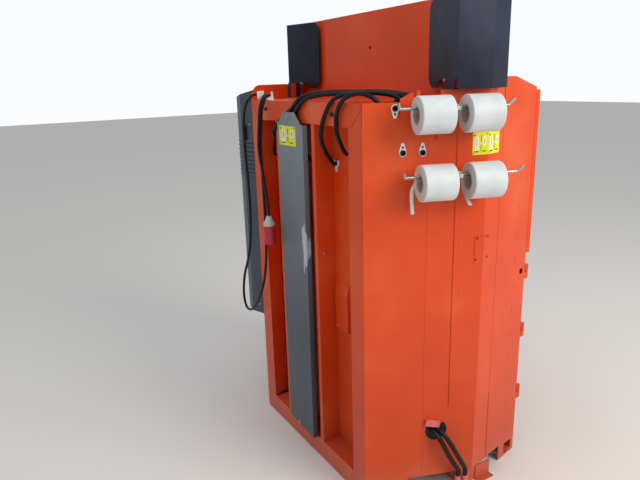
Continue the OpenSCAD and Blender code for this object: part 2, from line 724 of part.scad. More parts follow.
// Black cover round the top of one cylinder: a bent sheet with a rounded inner edge and a foot.
// low is the height of the lower edge of the parts that face out, foot_z that of the foot
module head_cover(low, foot_at, foot_w, foot_z) {
  line = [cover_in, cover_bend, cover_out, cover_end];
  inner_d = unit(cover_bend - cover_in);
  turn = atan2(inner_d[1], inner_d[0]);
  width = norm(cover_bend - cover_in);
  high = head_top - 5;
  lobe = body_h + 42;
  r = 40;
  folded(backwards([cover_bend, cover_out, cover_end]), cover_sheet, low, high - low);
  intersection() {
    folded(backwards([cover_in, cover_bend, cover_out]), cover_sheet, foot_z, high - foot_z);
    translate([cover_in[0], cover_in[1], 0]) rotate([90, 0, turn]) translate([0, 0, -200])
        linear_extrude(400)
      difference() {
        union() {
          translate([r, high - r]) circle(r = r);
          translate([r, lobe + r]) circle(r = r);
          translate([0, lobe + r]) square([width + 3, high - lobe - r * 2]);
          translate([r, cover_z]) square([width + 3 - r, high - cover_z]);
          translate([r, lobe]) square([58, high - lobe]);
          translate([foot_at, foot_z]) square([foot_w, cover_z - foot_z + 1]);
        }
        translate([98, lobe + 8]) circle(r = 22);
      }
  }
  translate([cover_in[0], cover_in[1], foot_z]) rotate([0, 0, turn]) translate([foot_at, -cover_sheet, 0])
    cube([foot_w, 25, 5]);
}
module head_cover_near() { color(black) head_cover(body_h + strip_h, 112, 90, body_h + strip_h); }
// The far cover stops higher and has a narrower foot, because of the cabinet
module head_cover_far() { color(black) far() head_cover(cover_z, 142, 27, body_h + slack); }

// Grey plate over the back channel, with a tapered top, two bent edges and one spacer
module channel_cover() {
  x = channel_x;
  low = base_h - 5;
  shoulder = body_h - 94;
  high = body_h - 43;
  half = cover_w / 2;
  top = cover_top_w / 2;
  y = back_y + slack;
  screw = x + 17;
  color(grey) {
    difference() {
      translate([0, y + cover_gap + cover_t, 0]) rotate([90, 0, 0]) linear_extrude(cover_t)
        polygon([[x - half, low], [x + half, low + 16], [x + half, shoulder + 8],
            [x + half - 17, shoulder + 9],
                 [x + top + 4, high], [x - top + 4, high], [x - half + 20, shoulder + 4],
                     [x - half, shoulder]]);
      for (z = [high - 23, low + 20]) bar_along_y([screw, y, z], 4, 60);
    }
    for (e = [[x - half, low, shoulder], [x + half - cover_t, low + 16, shoulder - 16]])
      block([e[0], y, e[1]], [e[0] + cover_t, y + cover_gap + 1, e[2]]);
    difference() {
      bar_along_y([screw, y, high - 23], 7, cover_gap + 0.5);
      bar_along_y([screw, y - 1, high - 23], 4, 60);
    }
  }
}
cover_gap = guide_d + 2;

// Pipe that runs down inside the channel
module channel_pipe() {
  near = channel_x - channel_w / 2;
  color(black) {
    translate([near + lip_w + 12, back_y - 26, pipe_z]) cylinder(r = 11, h = pipe_h);
    for (z = [pipe_z + 70, pipe_z + 370, pipe_z + 670])
      block([near + lip_w - 6, wall_y + slack, z], [near + lip_w + 30, back_y - 24, z + 24]);
  }
}

// Cylinder tube with its foot eye and its gland
module press_cylinder() {
  x = -cyl_gap / 2;
  translate([x, cyl_y, 0]) difference() {
    union() {
      translate([0, 0, tube_z]) cylinder(r = tube_d / 2, h = tube_top - tube_z);
      translate([0, 0, tube_top - gland_t]) cylinder(r = tube_d / 2 + 4, h = gland_t - 6);
      block([-lug_w / 2, -22, pin_z - 22], [lug_w / 2, 22, tube_z + 2]);
      translate([-lug_w / 2, 0, pin_z]) rotate([0, 90, 0]) cylinder(r = 22, h = lug_w);
      bar_along_y([0, 40, tube_z + 40], 14, 32);
    }
    translate([0, 0, tube_z + cap_t]) cylinder(r = bore_d / 2, h = tube_top - gland_t - tube_z - cap_t);
    translate([0, 0, tube_z + cap_t]) cylinder(r = rod_d / 2 + run_gap, h = tube_top);
    bar_along_x([-lug_w, 0, pin_z], pin_r + run_gap, lug_w * 2);
  }
}
module cylinder_near() { color(black) press_cylinder(); }
module cylinder_far() { color(black) far() press_cylinder(); }
module cylinder_pins() {
  reach = lug_w / 2 + ear_gap + ear_t + 4;
  color(steel) for (m = [-1, 1])
    bar_along_x([m * cyl_gap / 2 - reach, cyl_y, pin_z], pin_r, reach * 2);
}

// Piston and rod, drawn out to the rest position
module piston_rod() {
  piston_z = tube_top - gland_t - 5 - piston_t;
  translate([-cyl_gap / 2, cyl_y, 0]) {
    translate([0, 0, piston_z]) cylinder(r = bore_d / 2 - run_gap, h = piston_t);
    translate([0, 0, piston_z + 1]) cylinder(r = rod_d / 2, h = cross_z - slack - piston_z - 1);
    translate([0, 0, cross_z - 2]) cylinder(r = 15, h = cross_h + 8);
  }
}
module piston_rod_near() { color(steel) piston_rod(); }
module piston_rod_far() { color(steel) far() piston_rod(); }

// Beam that joins the rods, with the stems down to the press plate
module crosshead() {
  half = cyl_gap / 2 + 40;
  stem = 70;
  plate_z = platen_z + platen_t;
  color(dark_orange) difference() {
    union() {
      block([-half, cyl_y - cross_d / 2, cross_z], [half, cyl_y + cross_d / 2, cross_z + cross_h]);
      for (x = [-220, 220]) {
        block([x - stem / 2, cyl_y - cross_d / 2, plate_z],
            [x + stem / 2, cyl_y + cross_d / 2, cross_z + 1]);
        block([x - 70, cyl_y - 60, plate_z], [x + 70, cyl_y + 60, plate_z + 12]);
      }
      block([-220, cyl_y - 5, plate_z + 120], [220, cyl_y + 5, plate_z + 150]);
    }
    for (m = [-1, 1]) translate([m * cyl_gap / 2, cyl_y, cross_z - 5])
        cylinder(r = 15 + run_gap, h = cross_h + 10);
    for (x = [-220, 220]) block([x - stem / 2 + 6, cyl_y - cross_d / 2 + 6, plate_z + 14],
      [x + stem / 2 - 6, cyl_y + cross_d / 2 - 6, cross_z - 6]);
  }
}

// Press plate with stiffening ribs above and strap grooves below
module platen() {
  color(dark_orange) difference() {
    union() {
      block([-platen_half, platen_front, platen_z], [platen_half, platen_back, platen_z + 14]);
      for (x = [-platen_half, -220 - 30, -30, 220 - 30, platen_half - 60])
        block([x, platen_front, platen_z + 13], [x + 60, platen_back, platen_z + platen_t]);
      for (y = [platen_front, platen_back - 10])
        block([-platen_half, y, platen_z + 13], [platen_half, y + 10, platen_z + platen_t]);
    }
    for (x = strap_x)
      block([x - 15, platen_front - 1, platen_z - 1], [x + 15, platen_back + 1, platen_z + 8]);
  }
}
// Plastic pads on the press plate's corners, which run along the chamber walls
module guide_shoes() {
  color(white) for (m = [-1, 1]) for (y = [platen_front + 40, platen_back - 120])
    block([m > 0 ? platen_half : -half_chamber + shoe_gap, y, platen_z + 4],
          [m > 0 ? half_chamber - shoe_gap : -platen_half, y + 80, platen_z + platen_t - 4]);
}

// Lower door: a tray with ribs, its knuckles and the lock's hub
module bale_door() {
  half = bale_door_w / 2;
  out = door_face - bale_door_t;
  x = hinge_bale[0];
  y = hinge_bale[1];
  color(orange) difference() {
    union() {
      difference() {
        block([-half, out, bale_door_z], [half, door_face, bale_door_top]);
        block([-half + 6, out + 5, bale_door_z + 6], [half - 6, door_face - 5, bale_door_top - 6]);
      }
      for (z = [bale_door_z + 130, 520, bale_door_top - 170])
        block([-half + 30, out - 12, z], [half - 66, out + 1, z + 50]);
      for (z = bale_hinges) {
        translate([x, y, z]) cylinder(r = barrel_r, h = knuckle);
        block([x, y - 5, z], [-half + 2, y + 5, z + knuckle]);
      }
      bar_along_y([lock_x, out - 30, lock_z], lock_hub_r + 10, 32);
    }
    for (z = bale_hinges) translate([x, y, z - 1]) cylinder(r = hinge_pin_r + run_gap, h = knuckle + 2);
    bar_along_y([lock_x, out - 40, lock_z], 12 + run_gap, 38);
    // slots through which the straps are threaded
    for (s = strap_x) block([s - 10, out - 20, bale_door_z + 14],
        [s + 10, door_face + 1, bale_door_z + 114]);
  }
}
// Upper door over the feed opening, with its long edges bevelled
module feed_door() {
  half = feed_door_w / 2;
  out = front_y - door_seat - feed_door_t;
  bevel = 15;
  x = hinge_feed[0];
  y = hinge_feed[1];
  color(orange) difference() {
    union() {
      difference() {
        translate([0, 0, feed_door_z]) linear_extrude(feed_door_top - feed_door_z)
          polygon([[-half, door_face], [-half, out + bevel], [-half + bevel + 5, out],
              [half - bevel - 5, out],
                   [half, out + bevel], [half, door_face]]);
        block([-half + 24, out + 4, feed_door_z + 5], [half - 24, door_face - 4, feed_door_top - 5]);
      }
      for (z = feed_hinges) {
        translate([x, y, z]) cylinder(r = feed_barrel_r, h = knuckle);
        block([half - 2, y - 5, z], [x, y + 5, z + knuckle]);
      }
    }
    for (z = feed_hinges) translate([x, y, z - 1]) cylinder(r = hinge_pin_r + run_gap, h = knuckle + 2);
  }
}
// Pins of both doors, fixed in the columns
module hinge_pins() {
  color(steel) {
    for (z = bale_hinges) translate([hinge_bale[0], hinge_bale[1], z - knuckle - 3]) {
      cylinder(r = hinge_pin_r, h = knuckle * 2 + 6);
      cylinder(r = hinge_pin_r + 3, h = 2.5);
    }
    for (z = feed_hinges) translate([hinge_feed[0], hinge_feed[1], z - knuckle - 3]) {
      cylinder(r = hinge_pin_r, h = knuckle * 2 + 6);
      cylinder(r = hinge_pin_r + 3, h = 2.5);
    }
  }
}
// Pull handle on the feed door
module feed_handle() {
  y = front_y - door_seat - feed_door_t;
  x = 85 - feed_door_w / 2;
  color(black) for (z = [handle_z, handle_z + handle_h]) {
    bar_along_y([x, y - 50, z], 8, 50);
    translate([x, y - 50, z]) sphere(r = 11);
  }
  color(black) translate([x, y - 50, handle_z]) cylinder(r = 11, h = handle_h);
}
// Lever that works the bale door's lock
module lock_handle() {
  out = door_face - bale_door_t;
  color(black) {
    bar_along_y([lock_x, out - 60, lock_z], 12, 56);
    bar_along_y([lock_x, out - 64, lock_z], lock_hub_r, 30);
    block([lock_x - 12, out - 60, lock_z - 250], [lock_x + 12, out - 44, lock_z]);
    translate([lock_x, out - 52, lock_z - 330]) cylinder(r = 16, h = 110);
  }
}
// Bar that slides up and down behind the keepers
module lock_bar() {
  out = door_face - bale_door_t;
  x = bale_door_w / 2 - 32;
  color(steel) {
    block([x, out - 8, lock_arms[0] - 106], [x + 24, out - slack, lock_arms[1] + 44]);
    for (z = lock_arms) block([x + 20, out - 8, z - 30], [bale_door_w / 2 + 24, out - slack, z]);
  }
}

// Tilting fork in the floor that tips the finished bale out
module ejector() {
  y = eject_pos[0];
  z = eject_pos[1];
  color(steel) {
    bar_along_x([-294, y, z], eject_r, 588);
    for (m = [-1, 1])
      block([m * tine_x - tine_w / 2, y, z - tine_t / 2],
          [m * tine_x + tine_w / 2, bar_back + 20, z + tine_t / 2]);
    block([-tine_x - tine_w / 2, bar_back + 6, z - tine_t / 2],
        [tine_x + tine_w / 2, bar_back + 30, z + tine_t / 2]);
  }
}

// Small orange plates: the sensor plate over the fold, the hatch in the recess, two tube brackets
module small_plates() {
  color(orange) {
    // over the fold
    folded([on_b(b_len - 36, access_t + 2.2), fold_out(access_t + 2.2), on_c(34, access_t + 2.2)], 2,
        plate_z, plate_h);
    // hatch on the recessed wall, with a sloping top
    translate([-225, wall_y + slack, 0]) rotate([90, 0, 90]) linear_extrude(95)
      polygon([[0, hatch_z], [12, hatch_z + 5], [12, hatch_z + 195], [0, hatch_z + 225]]);
    // pointed plate that keeps the guide tubes in place
    at_b(0, 0, slack) rotate([90, 0, 0]) linear_extrude(4)
      translate([0, body_h]) polygon([[143, -68], [184, -68], [190, 22], [186, 30], [180, 31], [137, 11],
          [137, -62]]);
    at_b(204, body_h - 40, 6 + slack) translate([-7, 0, 0]) cube([14, 6, 78]);
    at_b(276, body_h - 134, slack) rotate([90, 0, 0]) linear_extrude(12) square([44, 18]);
  }
}

// Bent rods that carry the strap rolls
module roll_rod(z, s0, s1) {
  r = rod_bar_d / 2;
  at_b(0, z, rod_out) {
    translate([s0, 0, 0]) rotate([0, 90, 0]) cylinder(r = r, h = s1 - s0);
    for (e = [[s0, -12, 20], [s1, 50, 34]]) translate([e[0], 0, 0]) {
      sphere(r = r * 1.06);
      rotate([0, e[1], 0]) cylinder(r = r * 0.98, h = e[2]);
    }
  }
}
module roll_rods() {
  color(steel) {
    roll_rod(rod_up, rod_ends_up[0], rod_ends_up[1]);
    roll_rod(rod_low, rod_ends_low[0], rod_ends_low[1]);
  }
}
// Stand-off brackets at the middle of each rod
module roll_brackets() {
  r = rod_bar_d / 2;
  color(white) for (p = [[rod_up, (roll_s_up[0] + roll_len + roll_s_up[1]) / 2],
                         [rod_low, (roll_s_low[0] + roll_len + roll_s_low[1]) / 2]])
    at_b(p[1], p[0]) {
      translate([-7, -rod_out + r + slack, -9]) cube([14, rod_out - r - slack * 2, 18]);
      translate([-7, -rod_out - r - 4, -4 - r]) cube([14, r * 2 + 8, 4 - slack]);
      translate([-7, -rod_out + r + slack, -4 - r]) cube([14, 4, 8]);
      translate([-7, -rod_out - r - 4, -4 - r]) cube([14, 4 - slack, 8 + r]);
      translate([-14, -6 - slack, -26]) cube([28, 6, 36]);
    }
}

// Rolls of woven strap on their cores; tail is the line of the loose end that hangs from the lower ones
module strap_roll(z, s, tail) {
  core = core_d / 2 + core_t;
  at_b(s, z - roll_seat, rod_out) {
    color(board) rotate([0, 90, 0]) translate([0, 0, -1]) difference() {
      cylinder(r = core, h = roll_len + 2);
      translate([0, 0, -1]) cylinder(r = core_d / 2, h = roll_len + 4);
    }
    rotate([0, 90, 0]) difference() {
      union() {
        cylinder(r = roll_d / 2 - 2, h = roll_len);
        translate([0, 0, 2]) cylinder(r = roll_d / 2, h = roll_len - 4);
      }
      translate([0, 0, -1]) cylinder(r = core - 0.2, h = roll_len + 2);
    }
    for (i = [0 : 1 : len(tail) - 2]) hull() for (p = [tail[i], tail[i + 1]]) translate(p) cube([13, 2, 1]);
  }
}
module strap_roll_1() { color(white) strap_roll(rod_up, roll_s_up[0], []); }
module strap_roll_2() { color(white) strap_roll(rod_up, roll_s_up[1], []); }
module strap_roll_3() {
  color(white) strap_roll(rod_low, roll_s_low[0],
      [[1, 63, 2], [0, 63.3, -8], [-8, 62.5, -22], [-14, 61, -38],
    [-15, 59, -70], [-13, 57, -98], [-11, 57, -124]]);
}
module strap_roll_4() {
  color(white) strap_roll(rod_low, roll_s_low[1], [[1, 30, -58], [1, 22, -66], [1, 8, -76], [1, -15, -88]]);
}

// White drop-shaped plates where the straps enter the side
module eyelet_plates() {
  color(white) for (e = eyelets) at_b(e[0], e[1], slack) rotate([90, 0, 0])
    difference() {
      linear_extrude(3) rotate([0, 0, e[2] * 180]) difference() {
        union() {
          circle(r = 14.5);
          polygon([[-13.5, 6], [13.5, 6], [6.5, 29], [-6.5, 29]]);
          translate([0, 29]) circle(r = 6.5);
        }
        translate([0, 20]) circle(r = 2.2);
      }
      translate([0, 0, -1]) cylinder(r = 8.6 + slack, h = 6);
    }
}
// Black bushes in those plates
module eyelet_bushes() {
  color(black) for (e = eyelets) at_b(e[0], e[1], slack) rotate([90, 0, 0]) difference() {
    union() {
      translate([0, 0, -panel_t]) cylinder(r = 7.6, h = 8);
      cylinder(r = 8.6, h = 9);
      translate([0, 0, 4]) cylinder(r = 10.5, h = 5);
    }
    translate([0, 0, -20]) cylinder(r = 4, h = 40);
  }
}
// White winged plates that hold the tube ends on the back wall
module tube_fittings() {
  color(white) for (p = [tube_a[0], tube_b[0], tube_c[0], tube_d4[0]])
    translate([p[0], wall_y + slack, p[2]]) rotate([-90, 0, 0]) linear_extrude(2.4) difference() {
      polygon([[-20, -14], [-14, -14], [-11, -10], [11, -10], [14, -14], [20, -14], [20, 2], [7, 16],
          [7, 34],
               [-7, 34], [-7, 16], [-20, 2]]);
      translate([0, 25]) circle(r = 3);
      circle(r = guide_d / 2 + slack);
    }
}
// Strap guide tubes from the back wall over the deck to the side
module strap_tubes() {
  color(black) for (p = [tube_a, tube_b, tube_c, tube_d4]) swept(p, guide_d / 2, 10);
}

// White hook for the coiled power cord, standing on the deck's rear edge
module cord_hook() {
  z = body_h + slack;
  color(white) translate([hook_x - 3, 0, 0]) rotate([90, 0, 90]) linear_extrude(6) difference() {
    polygon([[back_y - 40, z], [back_y - 6, z], [back_y + 2, z + 5], [back_y + 38, z + 7],
        [back_y + 42, z + 34],
             [back_y + 36, z + 42], [back_y + 10, z + 43], [back_y + 8, z + 15.5], [back_y - 25, z + 15.5],
             [back_y - 29, z + 38], [back_y - 35, z + 38]]);
    translate([back_y + 24, z + 30]) circle(r = 3);
  }
  color(white) block([hook_x - 20, back_y - 34, z], [hook_x + 20, back_y - 6, z + 3]);
}
hook_x = 300;
module power_cord() { color(black) swept(smooth(cord_route, 1), cord_d / 2, 10); }

// Three-phase plug with a pale collar, hanging with its mouth down
module power_plug() {
  p = cord_route[len(cord_route) - 1];
  translate([p[0], p[1], p[2] - slack]) {
    color(white) translate([0, 0, -46]) rotate_extrude()
      polygon([[0, 0], [26, 0], [26, 14], [17, 30], [11, 46], [0, 46]]);
    color(red) translate([0, 0, -132]) difference() {
      rotate_extrude() polygon([[0, 0], [31, 0], [31, 6], [28, 9], [28, 58], [31, 62], [31, 74], [26, 86],
          [0, 86]]);
      translate([0, 0, -1]) cylinder(r = 25, h = 44);
    }
    color(steel) for (a = [0 : 72 : 359]) rotate([0, 0, a]) translate([16, 0, -122])
        cylinder(r = 2.6, h = 36);
  }
}

// Hydraulic hoses from the side's opening down to the base
module side_hoses() {
  color(black) for (p = [hose_a, hose_b]) swept(p, hose_d / 2, 10);
}
// Clamp block at the opening and the two end fittings
module hose_clamp() {
  color("#cf5a55") at_b(hose_hole_s - 16, hose_hole_z + 34, 1) rotate([0, 14, 0])
    translate([-34, -12, -10]) cube([62, 12, 26]);
  color(steel) for (p = [hose_a[7], hose_b[7]])
    translate([p[0], p[1], 24]) cylinder(r = 12, h = p[2] - 24 - slack);
  color(steel) block([hose_b[7][0] - 16, cyl_y + 50 + slack, 18], [fold[0] + 40, hose_a[7][1] + 16, 25]);
}

// Outline of the cabinet in plan; inset moves it inwards
function cab_line(inset) = [
  on_b(cab_s + inset, 1 + inset), on_b(cab_s + inset, cab_d - cab_chamfer_out + inset * 0.3),
  on_b(cab_s + cab_chamfer_s + inset * 0.5, cab_d - inset), on_b(cab_s + cab_l - inset, cab_d - inset),
  on_b(cab_s + cab_l - inset, 1 + inset)];
// Cabinet: back, bevel and front walls, sloping roof and floor, open on its outer side
module cabinet_shell() {
  low = cab_z;
  high = roof_z + roof_rise;
  far_s = cab_s + cab_l;
  color(cabinet_grey) far() difference() {
    translate([0, 0, low]) linear_extrude(high - low) polygon(cab_line(0));
    difference() {
      translate([0, 0, low + cab_t]) linear_extrude(high - low) polygon(cab_line(cab_t));
      cab_roof(-cab_t);
    }
    cab_roof(0);
    // door opening
    at_b(cab_s + cab_chamfer_s + 14, low + 20) translate([0, -cab_d - 10, 0])
      cube([cab_l - cab_chamfer_s - 32, 60, roof_z - low - 50]);
    // louvres in the back wall and the bevel
    for (i = [0 : louvres - 1]) at_b(cab_s, louvre_z - i * louvre_pitch) translate([-10, -cab_d + 4, 0])
      cube([40, cab_d - 40, 7]);
  }
}
// Everything above the sloping roof, moved by lift
module cab_roof(lift) {
  at_b(cab_s - 20, roof_z + lift) rotate([90, 0, 90]) linear_extrude(cab_l + 60)
    polygon([[-cab_d - 60, -roof_rise * 60 / cab_d], [20, roof_rise * (cab_d + 20) / cab_d], [20, 400],
        [-cab_d - 60, 400]]);
}
module cabinet_door() {
  s0 = cab_s + cab_chamfer_s + 6;
  s1 = cab_s + cab_l;
  color(cabinet_grey) far() difference() {
    union() {
      at_b(s0, cab_z + 10) translate([0, -cab_d - cab_t - slack, 0])
          cube([s1 - s0, cab_t, roof_z - cab_z - 30]);
      for (z = cab_hinges) at_b(cab_hinge_s, z + 20) translate([0, -cab_hinge_out, 0])
          cylinder(r = 7, h = 60);
      for (z = cab_hinges) at_b(s1 - 12, z + 20) translate([0, -cab_d - cab_t - slack, 0])
        cube([cab_hinge_s - s1 + 12, cab_t, 60]);
    }
    for (z = cab_hinges) at_b(cab_hinge_s, z + 19) translate([0, -cab_hinge_out, 0])
      cylinder(r = 3 + run_gap, h = 62);
    for (i = [0 : louvres - 1]) at_b(s0 + 60, louvre_z - i * louvre_pitch) translate([0, -cab_d - 20, 0])
      cube([180, 60, 7]);
  }
}
cab_hinge_s = cab_s + cab_l + 12;
cab_hinge_out = cab_d + cab_t / 2 + slack;

// Oil tank and, on top of it, the electric motor with its pump
module oil_tank() {
  color(black) far() {
    at_b(cab_s + 60, cab_z + cab_t + slack) translate([0, -cab_d + 30, 0]) difference() {
      cube([cab_l - 2 * tank_in, cab_d - tank_in, tank_h]);
      translate([5, 5, 5]) cube([cab_l - 2 * tank_in - 10, cab_d - tank_in - 10, tank_h - 10]);
    }
    at_b(cab_s + 90, cab_z + tank_h) translate([0, -cab_d + 60, 0]) cylinder(r = 22, h = 30);
  }
}
module pump_motor() {
  color(cabinet_grey) far() at_b(cab_s + 210, cab_z + cab_t + tank_h + slack * 2)
      translate([0, -cab_d / 2 - 4, 0]) {
    cylinder(r = motor_r + 10, h = 16);
    translate([0, 0, 15]) cylinder(r = motor_r - 22, h = 60);
    translate([0, 0, 74]) cylinder(r = motor_r, h = motor_h);
    for (a = [0 : 15 : 359]) rotate([0, 0, a]) translate([motor_r - 4, -2, 84]) cube([10, 4, motor_h - 20]);
    translate([0, 0, motor_h + 70]) cylinder(r = motor_r - 6, h = 40);
    translate([-40, -motor_r - 30, 120]) cube([80, 40, 90]);
  }
}

// Panel with the controls on the cabinet's front wall
module control_panel() {
  s1 = cab_s + cab_l;
  color(grey) far() difference() {
    union() {
      at_b(s1 + slack, panel_z) translate([0, -panel_w - 30, 0]) cube([panel_deep, panel_w, panel_h]);
      for (z = cab_hinges) at_b(cab_hinge_s, z) translate([0, -cab_hinge_out, 0]) cylinder(r = 7, h = 19);
      for (z = cab_hinges) at_b(s1 + slack, z) translate([0, -cab_hinge_out, 0]) cube([12, 30, 19]);
      for (z = cab_hinges) at_b(cab_hinge_s, z + 10) translate([0, -cab_hinge_out, 0])
          cylinder(r = 3, h = 66);
    }
    for (p = panel_holes) at_b(s1, p[1]) translate([-20, -p[0], 0]) rotate([0, 90, 0])
      cylinder(r = p[2] + run_gap, h = 60);
  }
}
// out, z and radius of the holes for the controls
panel_holes = [[80, panel_z + 60, 11], [160, panel_z + 60, 11], [120, panel_z + 190, 11]];
module estop_button() {
  p = panel_holes[0];
  color(red) far() at_b(cab_s + cab_l, p[1]) translate([0, -p[0], 0]) rotate([0, 90, 0]) {
    translate([0, 0, 5]) cylinder(r = p[2], h = 17);
    translate([0, 0, 19]) rotate_extrude() polygon([[0, 0], [14, 0], [20, 8], [19, 15], [12, 20], [0, 21]]);
  }
}
module start_button() {
  q = panel_holes[1];
  color("#2c8a4b") far() at_b(cab_s + cab_l, q[1]) translate([0, -q[0], 0]) rotate([0, 90, 0])
    translate([0, 0, 5]) cylinder(r = q[2], h = 12);
}
module main_switch() {
  p = panel_holes[2];
  color(red) far() at_b(cab_s + cab_l, p[1]) translate([0, -p[0], 0]) rotate([0, 90, 0]) {
    translate([0, 0, 4]) cylinder(r = p[2], h = 10);
    translate([0, 0, 11]) cylinder(r = 24, h = 9);
    translate([-22, -6, 19]) cube([44, 12, 16]);
  }
}

base_frame();
chamber_floor();
top_beam();
back_wall();
side_panel_near();
side_panel_far();
access_cover_near();
access_cover_far();
front_column_near();
front_column_far();
chamber_wall_near();
chamber_wall_far();
rear_deck();
head_back_sheet();
head_front_sheet();
head_top_cover();
head_cover_near();
head_cover_far();
channel_cover();
channel_pipe();
cylinder_near();
cylinder_far();
cylinder_pins();
piston_rod_near();
piston_rod_far();
crosshead();
platen();
guide_shoes();
bale_door();
feed_door();
hinge_pins();
feed_handle();
lock_handle();
lock_bar();
ejector();
small_plates();
roll_rods();
roll_brackets();
strap_roll_1();
strap_roll_2();
strap_roll_3();
strap_roll_4();
eyelet_plates();
eyelet_bushes();
tube_fittings();
strap_tubes();
cord_hook();
power_cord();
power_plug();
side_hoses();
hose_clamp();
cabinet_shell();
cabinet_door();
oil_tank();
pump_motor();
control_panel();
estop_button();
start_button();
main_switch();
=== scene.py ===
"""Looks of an upright recycling baler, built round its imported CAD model."""

import bmesh
import bpy
import numpy as np
from mathutils import Matrix


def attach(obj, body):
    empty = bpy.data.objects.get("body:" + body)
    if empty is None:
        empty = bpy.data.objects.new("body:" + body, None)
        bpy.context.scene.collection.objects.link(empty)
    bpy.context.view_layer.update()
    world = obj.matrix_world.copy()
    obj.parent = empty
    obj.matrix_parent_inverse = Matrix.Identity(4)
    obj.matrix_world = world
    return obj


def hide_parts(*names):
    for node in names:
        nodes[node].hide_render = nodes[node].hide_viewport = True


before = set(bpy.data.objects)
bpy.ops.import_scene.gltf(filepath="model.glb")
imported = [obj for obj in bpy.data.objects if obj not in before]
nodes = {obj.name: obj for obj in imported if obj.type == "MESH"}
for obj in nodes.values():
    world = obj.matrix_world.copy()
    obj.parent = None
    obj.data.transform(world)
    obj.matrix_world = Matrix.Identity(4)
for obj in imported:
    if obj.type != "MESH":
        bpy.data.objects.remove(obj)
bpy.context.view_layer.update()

# ---------------------------------------------------------------- camera

# Fitted to straight edges of the machine in the photo: columns are right, up, backwards and place
camera = bpy.data.objects.new("camera", bpy.data.cameras.new("camera"))
bpy.context.collection.objects.link(camera)
camera.matrix_world = Matrix(
    (
        (-0.5194, 0.2151, -0.8270, -2.1323),
        (-0.8540, -0.1640, 0.4937, 1.6071),
        (-0.0295, 0.9627, 0.2689, 1.7248),
        (0.0, 0.0, 0.0, 1.0),
    )
)
camera.data.sensor_width = 36
camera.data.lens = 32.33
camera.data.clip_end = 60
bpy.context.scene.camera = camera

# ---------------------------------------------------------------- sizes and places on the part

# Plan of the near side, as in the part's source: rear corner, fold and front edge
CORNER = np.array([-0.456, 0.420])
FOLD = np.array([-0.621, -0.029])
EDGE = np.array([-0.547, -0.375])
ALONG_B = (FOLD - CORNER) / np.linalg.norm(FOLD - CORNER)
ALONG_C = (EDGE - FOLD) / np.linalg.norm(EDGE - FOLD)
# Rear face of the near head cover in plan: a point and a heading
COVER_LINE = (np.array([-0.401, 0.066]), np.array([-0.9653, 0.2608]))
UP = np.array([0.0, 0.0, 1.0])
BACK_Y, DECK_Z = 0.420, 1.640
CORD_R, TUBE_R, HOSE_R = 0.0065, 0.0085, 0.0100
ROLL_R, ROLL_LEN = 0.0655, 0.122
CORE_R, CORE_WALL = 0.032, 0.003
STRAP_W, STRAP_T = 0.013, 0.0012
# Points of a roll beyond this radius belong to its outer face
FACE_R = ROLL_R - 0.0025


def side_frame(start, along, s, z, out, far=False):
    """Origin and axes of a side face: X along it, Y up, Z out of it; far mirrors it in X = 0."""
    normal = np.array([along[1], -along[0]])
    place = start + s * along + out * normal
    flip = -1.0 if far else 1.0
    return (
        np.array([flip * place[0], place[1], z]),
        np.array([flip * along[0], along[1], 0.0]),
        UP,
        np.array([flip * normal[0], normal[1], 0.0]),
    )


def on_b(s, z, out, far=False):
    """Frame on the rear part of a side, s from its rear corner."""
    return side_frame(CORNER, ALONG_B, s, z, out, far)


def on_c(s, z, out, far=False):
    """Frame on the front part of a side, s from its fold."""
    return side_frame(FOLD, ALONG_C, s, z, out, far)


def on_back(x, z, y):
    """Frame of a face that looks to +Y: X to the right as seen from behind."""
    return np.array([x, y, z]), np.array([-1.0, 0.0, 0.0]), UP, np.array([0.0, 1.0, 0.0])


def placed(points, at):
    """Local points (n, 3) carried into the shared frame by an origin and three axes."""
    origin, x, y, z = at
    return origin + points[:, :1] * x + points[:, 1:2] * y + points[:, 2:3] * z


def shifted(at, x=0.0, y=0.0, z=0.0):
    """The same frame with its origin moved along its own axes."""
    o, a, b, c = at
    return o + x * a + y * b + z * c, a, b, c


# ---------------------------------------------------------------- surfaces


def solid(name, shape, coat, body="frame", smooth=40):
    """A mesh object at the origin from points and faces, riding on a body. Edges up to smooth
    degrees are shaded round; 0 leaves every face flat."""
    points, faces = shape
    data = bpy.data.meshes.new(name)
    data.from_pydata(points.tolist(), [], faces)
    data.validate()
    shell = bmesh.new()
    shell.from_mesh(data)
    bmesh.ops.recalc_face_normals(shell, faces=shell.faces)
    shell.to_mesh(data)
    shell.free()
    thing = bpy.data.objects.new(name, data)
    bpy.context.collection.objects.link(thing)
    data.materials.append(coat)
    if smooth:
        data.shade_smooth()
        data.set_sharp_from_angle(angle=np.radians(smooth))
    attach(thing, body)
    return thing


def quads(rows, columns, closed=False):
    """Faces of a grid of rings, one ring a row; closed joins the last ring to the first."""
    i = np.arange(rows if closed else rows - 1)[:, None]
    j = np.arange(columns)[None, :]
    n, k = (i + 1) % rows, (j + 1) % columns
    corners = [i * columns + j, i * columns + k, n * columns + k, n * columns + j]
    return np.stack(corners, -1).reshape(-1, 4).tolist()


def capped(rows, columns):
    """Faces of a grid of rings whose first and last rings are closed by flat caps."""
    last = (rows - 1) * columns
    return quads(rows, columns) + [list(range(columns))[::-1], [last + k for k in range(columns)]]


def joined(parts):
    """Several (points, faces) put together in one list of points and faces."""
    points, faces, count = [], [], 0
    for p, f in parts:
        points.append(p)
        faces += [[v + count for v in face] for face in f]
        count += len(p)
    return np.concatenate(points), faces


def revolved(profile, at, sides):
    """Points of a surface of revolution: each (r, h) of the profile becomes the ring
    (r cos a, r sin a, h) about the frame's Z axis."""
    profile = np.asarray(profile, float)
    a = np.linspace(0, 2 * np.pi, sides, endpoint=False)
    r, h = profile[:, :1], profile[:, 1:]
    return placed(np.stack([r * np.cos(a), r * np.sin(a), h + 0 * a], -1).reshape(-1, 3), at)


